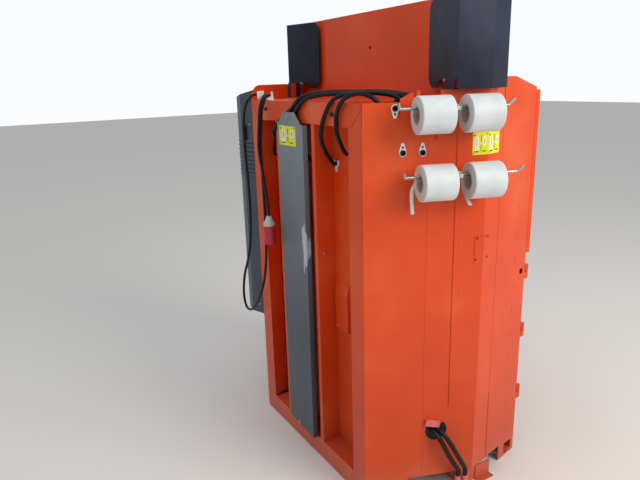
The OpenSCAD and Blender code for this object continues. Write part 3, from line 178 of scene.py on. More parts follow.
def turned_shape(profile, at, sides):
    """Turned solid: an open (r, h) profile revolved, with flat caps at both ends."""
    return revolved(profile, at, sides), capped(len(profile), sides)


def ring_shape(profile, at, sides=48):
    """Ring: a closed (r, h) outline revolved."""
    return revolved(profile, at, sides), quads(len(profile), sides, closed=True)


def along_path(route, steps):
    """Catmull-Rom curve through the route: steps points to each span."""
    p = np.asarray(route, float)
    p = np.vstack([p[:1], p, p[-1:]])
    t = np.linspace(0, 1, steps, endpoint=False)[None, :, None]
    a, b, c, d = (p[i : len(p) - 3 + i, None, :] for i in range(4))
    curve = 0.5 * (
        2 * b + (c - a) * t + (2 * a - 5 * b + 4 * c - d) * t**2 + (3 * b - a - 3 * c + d) * t**3
    )
    return np.vstack([curve.reshape(-1, 3), p[-1:]])


def headings(line):
    """Unit headings of a line at its points."""
    d = np.gradient(line, axis=0)
    return d / np.linalg.norm(d, axis=1, keepdims=True)


def side_vectors(d):
    """Two side vectors carried along the headings d without twist."""
    v = np.empty_like(d)
    side = np.array([0.31, 0.52, 0.79])
    for i, heading in enumerate(d):
        side = side - side.dot(heading) * heading
        side /= np.linalg.norm(side)
        v[i] = side
    return v, np.cross(d, v)


def tube_shape(line, radius, sides):
    """Tube: the circle r (v cos a + w sin a) carried along a line; the radius is one number, or one
    for each point."""
    v, w = side_vectors(headings(line))
    a = np.linspace(0, 2 * np.pi, sides, endpoint=False)[None, :, None]
    r = (np.zeros(len(line)) + radius)[:, None, None]
    ring = v[:, None, :] * np.cos(a) + w[:, None, :] * np.sin(a)
    return (line[:, None, :] + r * ring).reshape(-1, 3), capped(len(line), sides)


def plate_shape(outline, thick, at, round_edge=0.0006):
    """Flat plate: the outline (anticlockwise, seen from outside) stands thick off the frame's XY
    plane, and its upper rim is drawn in by round_edge so that the edge catches light."""
    o = np.asarray(outline, float)
    ahead = np.roll(o, -1, axis=0) - o
    ahead /= np.linalg.norm(ahead, axis=1, keepdims=True)
    normal = np.stack([-ahead[:, 1], ahead[:, 0]], -1)
    before = np.roll(normal, 1, axis=0)
    inward = (normal + before) / (1 + (normal * before).sum(1, keepdims=True))
    rows = [(0, 0), (0, thick - round_edge), (round_edge, thick)]
    points = [np.column_stack([o + inward * i, np.full(len(o), h)]) for i, h in rows]
    return placed(np.concatenate(points), at), capped(len(rows), len(o))


def rounded_box(w, h, r, steps=4, x=0.0, y=0.0):
    """Rectangle w by h with corners of radius r, about (x, y), anticlockwise."""
    a = np.linspace(0, np.pi / 2, steps + 1)
    parts = []
    for k, (sx, sy) in enumerate([(1, 1), (-1, 1), (-1, -1), (1, -1)]):
        b = a + k * np.pi / 2
        across = x + sx * (w / 2 - r) + r * np.cos(b)
        parts.append(np.column_stack([across, y + sy * (h / 2 - r) + r * np.sin(b)]))
    return np.concatenate(parts)


# ---------------------------------------------------------------- shader nodes


def rgb(hex_code):
    """Linear colour of an sRGB hex value."""
    c = np.array([int(hex_code[i : i + 2], 16) for i in (1, 3, 5)]) / 255
    c = np.where(c <= 0.04045, c / 12.92, ((c + 0.055) / 1.055) ** 2.4)
    return (*c.tolist(), 1.0)


def feed(tree, node, inputs):
    """Gives a node its inputs: sockets are linked, hex colours and numbers are set."""
    for key, value in inputs.items():
        if isinstance(value, bpy.types.NodeSocket):
            tree.links.new(value, node.inputs[key])
        else:
            node.inputs[key].default_value = rgb(value) if isinstance(value, str) else value


def add(tree, kind, inputs=None, **settings):
    """Adds a node with its settings and inputs."""
    node = tree.nodes.new(kind)
    for key, value in settings.items():
        setattr(node, key, value)
    feed(tree, node, inputs or {})
    return node


def noise(tree, place, scale, detail, roughness=0.5):
    """Noise over a place, 0 to 1 and mostly near 0.5."""
    inputs = {"Vector": place, "Scale": scale, "Detail": detail, "Roughness": roughness}
    return add(tree, "ShaderNodeTexNoise", inputs).outputs["Fac"]


def calc(tree, operation, *terms, clamp=False):
    """One step of arithmetic on numbers and sockets."""
    inputs = dict(enumerate(terms))
    return add(tree, "ShaderNodeMath", inputs, operation=operation, use_clamp=clamp).outputs[0]


def ranged(tree, value, low, high, start=0.0, end=1.0):
    """Low to high, in step with a value that goes from start to end."""
    inputs = {"Value": value, "From Min": start, "From Max": end, "To Min": low, "To Max": high}
    return add(tree, "ShaderNodeMapRange", inputs).outputs[0]


def ramp(tree, source, stops):
    """A colour ramp over a value: stops are (place, sRGB hex or grey number)."""
    node = add(tree, "ShaderNodeValToRGB", {"Fac": source})
    e = node.color_ramp.elements
    while len(e) < len(stops):
        e.new(0.5)
    for item, (place, tone) in zip(e, stops):
        item.position = place
        item.color = rgb(tone) if isinstance(tone, str) else (tone, tone, tone, 1)
    return node.outputs["Color"]


def mixed(tree, amount, a, b, blend="MIX"):
    """Colour a to b by an amount; a and b are sockets or hex values."""
    inputs = {0: amount, 6: a, 7: b}
    return add(tree, "ShaderNodeMix", inputs, data_type="RGBA", blend_type=blend).outputs[2]


def bumped(tree, height, strength, distance):
    """Normal of a surface that rises with the height."""
    inputs = {"Height": height, "Strength": strength, "Distance": distance}
    return add(tree, "ShaderNodeBump", inputs).outputs[0]


def material(name):
    """A new material: its tree, its shader and its Object coordinates."""
    m = bpy.data.materials.new(name)
    m.use_nodes = True
    tree = m.node_tree
    return m, tree, tree.nodes["Principled BSDF"], add(tree, "ShaderNodeTexCoord").outputs["Object"]


# ---------------------------------------------------------------- materials


def powder_coat(name, colour, pale, deep, rough, dust="#9a8c80", spec=0.4, scrape=None, foot=None):
    """Powder-coated steel sheet: an even satin colour with faint clouds where the sun has faded
    it, orange-peel ripple, small pale scuffs, and dust low down near the floor. scrape gives the
    middle (x, z) and half sizes of one spot where the coat is rubbed down to its pale primer. foot
    gives two heights, an amount and a tone: the colour goes darker towards the tone from the
    first height to the second, which on the grey channel cover is painted shade near the floor."""
    m, t, s, place = material(name)
    x, _, z = add(t, "ShaderNodeSeparateXYZ", {0: place}).outputs
    tone = ramp(t, noise(t, place, 2.2, 3.0, 0.55), [(0.30, deep), (0.52, colour), (0.78, pale)])
    specks = ramp(t, noise(t, place, 60.0, 4.0, 0.7), [(0.0, 0.0), (0.74, 0.0), (0.80, 0.5)])
    tone = mixed(t, specks, tone, pale)
    # Rub marks are long and narrow: the pattern is squeezed ten times across
    squeezed = add(t, "ShaderNodeMapping", {"Vector": place, "Scale": (26.0, 26.0, 2.6)}).outputs[0]
    rubs = noise(t, squeezed, 1.0, 6.0, 0.62)
    tone = mixed(t, ramp(t, rubs, [(0.0, 0.0), (0.66, 0.0), (0.74, 0.28)]), tone, pale)
    # Dust fades out 0.16 m above the floor
    low = calc(t, "MULTIPLY_ADD", z, -3.4, 0.55)
    tone = mixed(t, calc(t, "MULTIPLY", low, noise(t, place, 9.0, 5.0), clamp=True), tone, dust)
    # Darker towards the bottom; on the grey channel cover this is painted shade near the floor
    if foot:
        top, bottom, amount, low_tone = foot
        tone = mixed(t, ranged(t, z, 0.0, amount, top, bottom), tone, low_tone)
    if scrape:
        # Inside an ellipse, and most where the rub marks are strong
        torn = calc(t, "MULTIPLY_ADD", rubs, 5.0, -1.9)
        for axis, middle, half in ((x, scrape[0], scrape[2]), (z, scrape[1], scrape[3])):
            off = calc(t, "MULTIPLY_ADD", axis, 1 / half, -middle / half)
            torn = calc(t, "SUBTRACT", torn, calc(t, "MULTIPLY", off, off))
        tone = mixed(t, ramp(t, torn, [(0.0, 0.0), (0.10, 0.0), (0.22, 0.85)]), tone, "#c3ccd6")
    # Orange peel is 1 to 3 mm across; drawn at 5 mm so that it shows, over a slow wave of the sheet
    peel = noise(t, place, 200.0, 1.0)
    skin = calc(t, "MULTIPLY_ADD", noise(t, place, 7.0, 1.0), 6.0, peel)
    feed(t, s, {
        "Base Color": tone,
        "Roughness": ranged(t, rubs, rough - 0.06, rough + 0.1, 0.3, 0.75),
        "Normal": bumped(t, skin, 0.10, 0.0006),
        "Specular IOR Level": spec,
    })
    return m


def mottled(name, scale, detail, stops, rough, grain, more=()):
    """A surface with one mottling: noise picks its tone from the stops and its roughness from the
    pair. grain gives the scale, detail, strength and depth of a fine bump."""
    m, t, s, place = material(name)
    patches = noise(t, place, scale, detail)
    feed(t, s, {
        "Base Color": ramp(t, patches, stops),
        "Roughness": ranged(t, patches, *rough),
        "Normal": bumped(t, noise(t, place, *grain[:2]), *grain[2:]),
        **dict(more),
    })
    return m


def rubber(name, colour="#0c0d10", pale="#1b1d21", rough=0.36):
    """Extruded black rubber: nearly black, a soft blue-grey shine, with dull dusty patches."""
    return mottled(name, 45.0, 4.0, [(0.35, colour), (0.8, pale)], (rough - 0.08, rough + 0.2),
                   (700.0, 1.0, 0.12, 0.0004), {"Specular IOR Level": 0.26})


def bright_metal(name, colour, rough, spots, spot_tone="#8b8f94"):
    """Zinc-plated or turned steel: metallic, finely grained, with duller spots."""
    return mottled(name, spots, 5.0, [(0.3, colour), (0.75, spot_tone)], (rough - 0.1, rough + 0.15),
                   (900.0, 2.0, 0.08, 0.0003), {"Metallic": 1.0})


def moulded(name, colour, pale, rough, grain=0.15):
    """Moulded plastic: one colour with a faint mottling and a fine spark-eroded grain."""
    return mottled(name, 30.0, 4.0, [(0.35, colour), (0.85, pale)], (rough, rough),
                   (1100.0, 1.0, grain, 0.0003))


def card(name):
    """Spiral-wound grey-brown board: layered, fibrous, matt."""
    return mottled(name, 120.0, 6.0, [(0.3, "#a3948a"), (0.6, "#bcafa4"), (0.8, "#cbc0b6")], (0.85, 0.85),
                   (120.0, 6.0, 0.3, 0.0005))


def strap_winding(name):
    """Wound polyester strap: near-white and silky, with bands the width of the strap side by side
    along the roll, the strap's fine cords in each band, and greyer layered ends."""
    m, t, s, place = material(name)
    wind = add(t, "ShaderNodeAttribute", attribute_name="wind").outputs["Vector"]
    along, turn, radius = add(t, "ShaderNodeSeparateXYZ", {0: wind}).outputs
    slant = calc(t, "MULTIPLY_ADD", turn, 0.014, along)
    bands = calc(t, "PINGPONG", slant, STRAP_W / 2)
    # Cords repeat each 1.6 mm (real ones 1 mm)
    cords = calc(t, "PINGPONG", slant, 0.0008)
    edge = ramp(t, calc(t, "MULTIPLY", bands, 150.0), [(0.0, 0.75), (0.08, 1.0)])
    tone = ramp(t, noise(t, place, 14.0, 3.0), [(0.3, "#ced5d9"), (0.6, "#dbe1e4"), (0.8, "#d3d9dc")])
    tone = mixed(t, 0.04, tone, edge, "MULTIPLY")
    ends = calc(t, "LESS_THAN", radius, FACE_R - 0.0001)
    tone = mixed(t, calc(t, "MULTIPLY", ends, 0.55), tone, "#bcbbb0")
    feed(t, s, {
        "Base Color": tone,
        "Roughness": 0.48,
        "Sheen Weight": 0.25,
        "Sheen Roughness": 0.4,
        "Normal": bumped(t, calc(t, "MULTIPLY_ADD", cords, 0.35, bands), 0.08, 0.25),
    })
    return m


# The orange goes darker towards the bottom, from 0.85 m down to 0.25 m
ORANGE = powder_coat("orange_powder_coat", "#e14d1c", "#e8683a", "#d84415", 0.33, spec=0.32,
                     foot=(0.85, 0.25, 0.22, "#5a2c1c"))
DEEP_ORANGE = powder_coat("worn_orange_paint", "#b23c1c", "#b8735c", "#93301c", 0.5)
BLACK_COAT = powder_coat("black_powder_coat", "#161c2c", "#2f374e", "#121724", 0.31, "#363c4d", spec=0.28)
GREY_COAT = powder_coat("grey_powder_coat", "#747b83", "#8a9299", "#6b7279", 0.40)
# The channel cover goes darker from 1.42 m down to 0.60 m: painted shade near the floor
SCRAPED_GREY = powder_coat("scraped_grey_coat", "#7c848d", "#9199a1", "#727982", 0.40,
                           scrape=(-0.050, 1.040, 0.027, 0.135), foot=(1.42, 0.60, 0.82, "#39414a"))
CABINET_COAT = powder_coat("slate_powder_coat", "#4a5662", "#5e6b78", "#424d58", 0.42)
WHITE_PLATE = powder_coat("white_powder_coat", "#e9eaea", "#f4f4f4", "#dcdede", 0.35, "#b8b4ae")
RUBBER = rubber("black_rubber")
CORD_RUBBER = rubber("cord_rubber", "#121318", "#26282e", 0.34)
STEEL = bright_metal("zinc_plated_steel", "#c9cbcc", 0.34, 160.0)
ROD_STEEL = bright_metal("polished_rod", "#d4d6d8", 0.16, 60.0, "#bfc3c7")
WORN_STEEL = bright_metal("worn_steel", "#9b9a98", 0.46, 40.0, "#6f6860")
STRAP = strap_winding("polyester_strap")
CARD = card("core_board")
NYLON = moulded("guide_nylon", "#dedbd2", "#eceae4", 0.45)
RED = moulded("red_plastic", "#b3202f", "#c53b45", 0.32)
GREEN = moulded("green_plastic", "#1f7a40", "#2f9453", 0.32)
DARK = moulded("black_plastic", "#15161a", "#24262b", 0.45)
GREY_PLASTIC = moulded("pale_grey_plastic", "#b9bdc0", "#c9cccf", 0.4)
PINK = moulded("faded_red_clamp", "#cf5a55", "#dd8078", 0.5)
YELLOW = moulded("yellow_film", "#e6e312", "#eeeb28", 0.35, 0.05)
WHITE_INK = moulded("white_print", "#eceded", "#f6f6f6", 0.4, 0.05)
INK = moulded("black_print", "#1d1e20", "#2a2b2d", 0.45, 0.05)

# Material of the CAD nodes
DRESS = {
    ORANGE: "base_frame top_beam back_wall side_panel_near side_panel_far access_cover_near"
    " access_cover_far front_column_near front_column_far rear_deck head_back_sheet head_front_sheet"
    " bale_door feed_door small_plates",
    DEEP_ORANGE: "chamber_floor chamber_wall_near chamber_wall_far crosshead platen",
    BLACK_COAT: "head_top_cover head_cover_near head_cover_far channel_pipe cylinder_near cylinder_far"
    " feed_handle lock_handle oil_tank",
    GREY_COAT: "control_panel",
    SCRAPED_GREY: "channel_cover",
    CABINET_COAT: "cabinet_shell cabinet_door pump_motor",
    STEEL: "cylinder_pins hinge_pins lock_bar roll_rods",
    ROD_STEEL: "piston_rod_near piston_rod_far",
    WORN_STEEL: "ejector",
    STRAP: "strap_roll_1 strap_roll_2 strap_roll_3 strap_roll_4",
    WHITE_PLATE: "roll_brackets eyelet_plates tube_fittings cord_hook",
    RUBBER: "eyelet_bushes strap_tubes side_hoses",
    CORD_RUBBER: "power_cord",
    NYLON: "guide_shoes",
    RED: "estop_button main_switch",
    GREEN: "start_button",
    PINK: "hose_clamp",
}
for coat, names in DRESS.items():
    for name in names.split():
        nodes[name].data.materials.clear()
        nodes[name].data.materials.append(coat)

# ---------------------------------------------------------------- power cord

# The cord's route in millimetres, the same as the CAD tube's, from the deck to the plug
POWER_ROUTE = np.array([
    [330, 380, 1640.4], [330, 380, 1652], [327, 386, 1659], [318, 394, 1663.5], [309, 399.5, 1664],
    [300, 402.2, 1662.8], [286, 409, 1662.8], [273, 424, 1661], [262, 438, 1655], [258, 446, 1646],
    [262, 450, 1633], [274, 452, 1612], [286, 453, 1580], [293, 454, 1531], [305, 456, 1440],
    [306, 456, 1330], [302, 456, 1210], [302, 456, 1090], [306, 456, 980], [318, 457, 870],
    [346, 459, 770], [392, 462, 680], [446, 465, 610], [504, 468, 560], [556, 470, 552],
    [586, 470, 584], [590, 470, 650], [562, 470, 740], [510, 470, 830], [462, 472, 930],
    [436, 474, 1040], [424, 476, 1150], [424, 478, 1260], [428, 480, 1370], [429, 481, 1470],
    [427, 480, 1544], [420, 477, 1588], [405, 471, 1627], [384, 463, 1649], [360, 455, 1664],
    [336, 440, 1668], [316, 424, 1665], [300, 419.2, 1662.8], [287, 426, 1663], [272, 440, 1662],
    [260, 452, 1655], [253, 460, 1646], [258, 464, 1633], [269, 466, 1612], [279, 467, 1580],
    [286, 468, 1536], [298, 470, 1450], [287, 472, 1380], [258, 473, 1300], [236, 475, 1220],
    [219, 476, 1160], [219, 476, 1124]]) / 1000

line = along_path(POWER_ROUTE, 6)
cord = solid("power_cord_sheath", tube_shape(line, CORD_R, 14), CORD_RUBBER)
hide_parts("power_cord")

# ---------------------------------------------------------------- guide tubes and hoses


def guide_tube(over, beside, eyelet):
    """Route of a guide tube, given in millimetres: points over the deck as x, y from the back face
    and z from the deck, points beside the panel as along it, deep behind it and height, then
    straight into the eyelet."""
    s, z = eyelet
    over = np.array(over) / 1000 + [0.0, BACK_Y, DECK_Z]
    beside = np.array([*beside, [s, 17, z], [s, 4.3, z]]) / 1000
    return np.vstack([over, [on_b(along, height, -deep)[0] for along, deep, height in beside]])


TUBES = [
    guide_tube(
        [[373, -89.7, -258], [373, -75.7, -258], [362, -64, -250], [335, -50, -224], [300, -34, -196],
         [264, -18, -168], [238, -3, -149], [216, 9.3, -130], [181, 9.5, -102], [150, 9.5, -82],
         [104, 9.5, -58], [68, 9.5, -43], [30, 11, -24], [0, 12, -6], [-32, 7, 14], [-72, -16, 28],
         [-118, -44, 34], [-178, -66, 37], [-273, -94, 37], [-380, -130, 36], [-450, -158, 30]],
        [[194, 20, 1655], [205, 24, 1630], [221, 25, 1604]], (232, 1588)),
    guide_tube(
        [[-146, -89.7, -249], [-146, -75.7, -249], [-152, -50, -222], [-164, -22, -186],
         [-180, 3, -142], [-198, 11, -102], [-214, 12, -66], [-236, 12, -36], [-262, 11, -6],
         [-287, 5, 14], [-312, -14, 27], [-345, -42, 33], [-394, -74, 34], [-450, -114, 28]],
        [[138, 20, 1655], [132, 25, 1642], [124, 22, 1627]], (119, 1619)),
    guide_tube(
        [[-266, -89.7, -200], [-266, -75.7, -200], [-271, -58, -197], [-279, -44, -190],
         [-286, -30, -176], [-292, -16, -156], [-296, -4, -134], [-299, 5, -113], [-302, 9.8, -92],
         [-305, 11, -72], [-308, 12, -52], [-315, 12, -32], [-328, 12, -12], [-348, 12, 7],
         [-375, 10, 21], [-403, 0, 31], [-428, -20, 33], [-446, -44, 22], [-456, -60, 8]],
        [[68, 20, 1632], [76, 23, 1590], [96, 25, 1535], [124, 26, 1490], [142, 24, 1470]], (149, 1461)),
    guide_tube(
        [[20, -89.7, -255], [20, -75.7, -255], [21, -45, -228], [23, -20, -195], [24, -2, -158],
         [24, 7, -122], [23, 9.5, -92], [19, 9.5, -62], [4, 10, -42], [-25, 13, -20], [-54, 11, 1],
         [-84, 0, 15], [-120, -18, 24], [-178, -42, 29], [-273, -70, 32], [-380, -106, 33],
         [-450, -136, 28]],
        [[166, 20, 1655], [170, 28, 1625], [182, 34, 1580], [204, 32, 1522], [219, 26, 1480]],
        (224, 1459)),
]
# From the opening in the side down to the end fittings, in millimetres
HOSES = np.array([
    [[-562, 158, 300], [-578, 152, 296], [-596, 142, 276], [-610, 128, 240], [-620, 106, 190],
     [-626, 80, 142], [-628, 62, 112], [-628, 62, 86]],
    [[-568, 132, 304], [-586, 128, 300], [-606, 118, 282], [-624, 100, 244], [-636, 76, 194],
     [-642, 52, 148], [-643, 36, 118], [-643, 36, 88]],
]) / 1000
tubes = solid("strap_guide_tubes", joined([tube_shape(along_path(r, 7), TUBE_R, 16) for r in TUBES]), RUBBER)
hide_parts("strap_tubes")
hoses = solid("hydraulic_hoses", joined([tube_shape(along_path(r, 7), HOSE_R, 16) for r in HOSES]), RUBBER)
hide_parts("side_hoses")

# ---------------------------------------------------------------- strap rolls

# Rear end of each roll along the side, and the height of its rod; then the rods' distance from the
# side, and how far a roll's axis hangs below its rod
ROLLS = [(0.169, 1.620), (0.347, 1.620), (0.185, 1.384), (0.366, 1.384)]
ROD_OUT, ROLL_DROP = 0.085, 0.0232
# Loose ends: places along the roll, inwards and up from its axis, in millimetres
TAILS = {
    3: [[1, 63, 2], [0, 63.3, -8], [-8, 62.5, -22], [-14, 61, -38], [-15, 59, -70], [-13, 57, -98],
        [-11, 57, -123]],
    4: [[1, 30, -58], [1, 22, -66], [1, 8, -76], [1, -14, -87]],
}


def wound_roll(at, seed):
    """Strap roll, a ring of one outline: the outer face is a row of bands with a groove between
    them, r = R - 0.06 mm b^8 with b from 0 in the middle of a band to 1 at its edges. The rims are
    rounded, and both ends step in and out a little with the layers."""
    rng = np.random.default_rng(seed)
    x = np.linspace(0.004, ROLL_LEN - 0.004, 110)
    b = np.abs((x / STRAP_W) % 1.0 - 0.5) * 2
    face = np.column_stack([ROLL_R - 0.00006 * b**8 - 0.00004 * rng.random(len(x)), x])
    r = np.linspace(ROLL_R - 0.004, CORE_R + 0.0006, 34)
    layers = np.column_stack([r, 0.0006 + 0.0007 * rng.random(len(r)) * (np.arange(len(r)) % 2)])
    rim = [[ROLL_R - 0.0022, 0.0008], [ROLL_R - 0.0007, 0.0022]]
    end = np.vstack([layers[::-1], rim])
    other_end = end[::-1] * [1, -1] + [0, ROLL_LEN]
    return ring_shape(np.vstack([end, face, other_end]), at, 72)


def ribbon(route, width_axis, width, thick):
    """Flat strap: a rectangle width by thick carried along a curve, its width on one fixed axis."""
    line = along_path(route, 8)
    across = width_axis * width / 2
    out = np.cross(headings(line), width_axis) * thick / 2
    low, high = line - out, line + out
    corners = np.stack([low - across, low + across, high + across, high - across], 1)
    return corners.reshape(-1, 3), capped(len(line), 4)


def mark_winding(thing, at):
    """Stores the strap material's own coordinates at each point: on the outer face its place along
    the roll and the cosine of its angle, on the ends its radius and 0, and everywhere its radius."""
    origin, x, y, z = at
    p = np.empty(len(thing.data.vertices) * 3)
    thing.data.vertices.foreach_get("co", p)
    q = p.reshape(-1, 3) - origin
    along, u, v = q @ z, q @ x, q @ y
    r = np.hypot(u, v)
    face = r > FACE_R
    value = np.column_stack([np.where(face, along, r), np.where(face, u / np.maximum(r, 1e-6), 0), r])
    layer = thing.data.attributes.new("wind", "FLOAT_VECTOR", "POINT")
    layer.data.foreach_set("vector", value.ravel().astype(np.float32))


# Board tube that stands 1 mm out of the roll at both ends
CORE = [[CORE_R - CORE_WALL, -0.001], [CORE_R, -0.001], [CORE_R, ROLL_LEN + 0.001],
        [CORE_R - CORE_WALL, ROLL_LEN + 0.001]]
for number, (s, z) in enumerate(ROLLS, 1):
    place, along, up, out = on_b(s, z - ROLL_DROP, ROD_OUT)
    at = (place, up, out, along)
    parts = [wound_roll(at, number)]
    if number in TAILS:
        route = np.array(TAILS[number]) / 1000 + [STRAP_W / 2, 0.001, 0.0]
        route = place + route[:, :1] * along - route[:, 1:2] * out + route[:, 2:] * up
        parts.append(ribbon(route, along, STRAP_W, STRAP_T))
    body = f"roll_{number}"
    roll = solid(f"wound_strap_{number}", joined(parts), STRAP, body, 50)
    mark_winding(roll, at)
    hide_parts(f"strap_roll_{number}")
    solid(f"roll_core_{number}", ring_shape(CORE, at), CARD, body)

# ---------------------------------------------------------------- labels

# Design of the notices as shares of their width and height: middle, size and corner of two white
# panels, then middle and size of the dark signs
PANELS = [(-0.24, -0.02, 0.22, 0.66, 0.08), (0.26, 0.10, 0.20, 0.40, 0.07)]
SIGNS = [(-0.40, 0.36, 0.10, 0.06), (-0.24, -0.36, 0.26, 0.05), (-0.24, 0.05, 0.03, 0.36),
         (0.04, 0.22, 0.035, 0.30), (0.04, -0.20, 0.035, 0.30), (0.26, 0.10, 0.03, 0.22),
         (0.24, -0.34, 0.20, 0.05), (-0.42, -0.42, 0.06, 0.06), (0.42, 0.42, 0.06, 0.06)]
FILM, PRINT = 0.0004, 0.0002


def film_plate(w, h, r, at):
    """Thin plate with nearly sharp edges."""
    return plate_shape(rounded_box(w, h, r), FILM, at, 0.0001)


def label(name, at, w, h):
    """Blank yellow notice plate with two plain white panels and plain dark signs."""
    solid(name, film_plate(w, h, 0.004, at), YELLOW, smooth=0)
    at = shifted(at, z=FILM)
    shapes = [plate_shape(rounded_box(w * pw, h * ph, w * r, 4, w * x, h * y), PRINT, at, 0.00005)
              for x, y, pw, ph, r in PANELS]
    solid(name + "_panels", joined(shapes), WHITE_INK, smooth=0)
    at = shifted(at, z=PRINT)
    shapes = [plate_shape(rounded_box(w * sw, h * sh, min(w * sw, h * sh) * 0.3, 2, w * x, h * y),
                          PRINT, at, 0.00005) for x, y, sw, sh in SIGNS]
    solid(name + "_signs", joined(shapes), INK, smooth=0)


CHANNEL_COVER_Y = 0.4418
LABEL_Z, LABEL_H, LABEL_OUT = 1.481, 0.083, 0.0033
label("cover_label", on_back(0.066, 1.4975, CHANNEL_COVER_Y), 0.146, LABEL_H)
# The second notice is bent over the side's fold: one half on each part
label("fold_label_rear", on_b(0.4484, LABEL_Z, LABEL_OUT), 0.0620, LABEL_H)
label("fold_label_front", on_c(0.0375, LABEL_Z, LABEL_OUT), 0.0765, LABEL_H)

# ---------------------------------------------------------------- screws, welds and trim


def hex_bolt(at, r, h, washer):
    """Hexagon head on a flat washer: two turned profiles, the head with six sides."""
    disc = turned_shape([[washer, 0], [washer, 0.0012], [washer - 0.0006, 0.0018]], at, 24)
    head = turned_shape([[r, 0.0018], [r, h], [r * 0.86, h + 0.0016]], at, 6)
    return [disc, head]


def pan_screw(at, r, h):
    """Low round head: a quarter-ellipse profile turned about its axis."""
    a = np.linspace(0, np.pi / 2, 7)
    profile = np.column_stack([np.maximum(r * np.cos(a), 0.0002), h * np.sin(a)])
    return [turned_shape(np.vstack([[r, -0.0004], profile]), at, 20)]


BEAD_R, BEAD_PITCH = 0.0016, 0.004


def weld_bead(start, end, r=BEAD_R):
    """Weld bead between two points: a tube whose radius swells and sinks once every pitch, and
    shrinks to 0.35 of itself at both ends."""
    start, end = np.array(start), np.array(end)
    ripples = np.linalg.norm(end - start) / BEAD_PITCH
    t = np.linspace(0, 1, max(int(ripples * 4), 6))
    swell = 1 + 0.14 * np.sin(t * ripples * 2 * np.pi)
    swell *= np.minimum(1, 0.35 + 12 * np.minimum(t, 1 - t))
    return tube_shape(start + (end - start) * t[:, None], r * swell, 8)


def upright_bead(at, length, r):
    """Weld bead that runs up from a place."""
    return [weld_bead(at[0], at[0] + UP * length, r)]


def saddle(at, w, h):
    """Black cable saddle: a rounded plate with a raised bridge and a strap hole through it."""
    plate = plate_shape(rounded_box(w, h, 0.003), 0.0030, at)
    posts = [plate_shape(rounded_box(w * 0.24, h * 0.8, 0.0012, 2, x), 0.0026, shifted(at, z=0.0030), 0.0004)
             for x in (-w * 0.32, w * 0.32)]
    bridge = plate_shape(rounded_box(w * 0.9, h * 0.42, 0.0015, 2), 0.0018, shifted(at, z=0.0056), 0.0004)
    return [plate, *posts, bridge]


def many(name, coat, make, size, places):
    """One object of the same small part at several places."""
    solid(name, joined([part for at in places for part in make(at, *size)]), coat)


# Screws and bolts: size is radius and height of the head, then the washer's radius
SIDES = (False, True)
FOLD_PLATE_OUT, EYELET_OUT, HATCH_Y = 0.0072, 0.0033, 0.3423
many("cover_screws", STEEL, hex_bolt, (0.0065, 0.0050, 0.0095),
     [on_back(0.062, z, CHANNEL_COVER_Y) for z in (1.574, 0.110)])
many("head_cover_bolts", STEEL, hex_bolt, (0.0065, 0.0050, 0.0090),
     [side_frame(*COVER_LINE, 0.130, 1.709, 0.0, far) for far in SIDES])
# Hem that stiffens the lower edge of the far cover
hem = plate_shape(rounded_box(0.130, 0.013, 0.003), 0.0030,
                  side_frame(*COVER_LINE, 0.166, 1.7085, -0.0020, True))
solid("far_cover_hem", hem, BLACK_COAT)
many("fold_plate_screws", DARK, pan_screw, (0.0036, 0.0020),
     [on_b(s, z, FOLD_PLATE_OUT) for s, z in ((0.449, 1.033), (0.452, 1.119))]
     + [on_c(s, z, FOLD_PLATE_OUT) for s, z in ((0.022, 1.038), (0.024, 1.119))])
many("hatch_screws", STEEL, pan_screw, (0.0045, 0.0024),
     [on_back(x, z, HATCH_Y) for x, z in ((-0.215, 0.842), (-0.143, 0.672))])
many("eyelet_rivets", DARK, pan_screw, (0.0042, 0.0022),
     [on_b(s, z, EYELET_OUT)
      for s, z in ((0.149, 1.481), (0.224, 1.479), (0.119, 1.599), (0.232, 1.568))])
# On the wall of the back channel, which looks to -X
many("channel_bolt", STEEL, hex_bolt, (0.0065, 0.0050, 0.0090),
     [(np.array([-0.1222, 0.384, 1.010]), np.array([0.0, 1.0, 0.0]), UP, np.array([-1.0, 0.0, 0.0]))])

# Welds in the grooves of the side seams, beside the front columns and at the beam's corners
SEAM_S, COLUMN_S = 0.247, 0.262
many("side_seam_welds", ORANGE, upright_bead, (0.077, BEAD_R),
     [on_b(SEAM_S, 0.0975 + 0.092 * i, -0.0006, far) for far in SIDES for i in range(16)])
many("column_welds", ORANGE, upright_bead, (0.028, 0.0012),
     [on_c(COLUMN_S, 0.150 + 0.115 * i, -0.0002, far) for far in SIDES for i in range(12)])
BEAM_WELDS = [((0.455, 0.4205, 1.628), (0.385, 0.4205, 1.554)),
              ((0.366, 0.4207, 1.5525), (0.300, 0.4207, 1.5525))]
beads = [weld_bead(start * mirror, end * mirror) for start, end in np.array(BEAM_WELDS)
         for mirror in ([-1, 1, 1], [1, 1, 1])]
solid("beam_welds", joined(beads), ORANGE)

many("cable_saddles", DARK, saddle, (0.018, 0.016),
     [on_back(x, z, BACK_Y + 0.0003) for x, z in ((0.303, 1.602), (-0.262, 1.596), (-0.1690, 1.518))])

# Outline of the hose opening, closed: round below, flat above at half its radius, and tilted
HOLE_R, HOLE_AT, HOLE_TILT = 0.0435, (0.3064, 0.296), np.radians(14)
flat = np.arcsin(0.50)
a = np.linspace(flat, -np.pi - flat, 40) + HOLE_TILT
rim = HOLE_R * np.column_stack([np.cos(a), np.sin(a)])
rim = np.vstack([rim, (rim[:1] + rim[-1:]) / 2, rim[:1]])
# A black flap of sheet rubber lies on the panel round the hoses, with a rubber edge round it; the
# outline runs clockwise, so the flap takes it backwards
flap = plate_shape(rim[-2::-1], 0.0015, on_b(*HOLE_AT, 0.0001), 0.0002)
solid("hose_opening_flap", flap, RUBBER)
rim = placed(np.column_stack([rim, np.zeros(len(rim))]), on_b(*HOLE_AT, -0.002))
solid("hose_opening_edge", tube_shape(rim, 0.0042, 10), RUBBER)

# ---------------------------------------------------------------- power plug

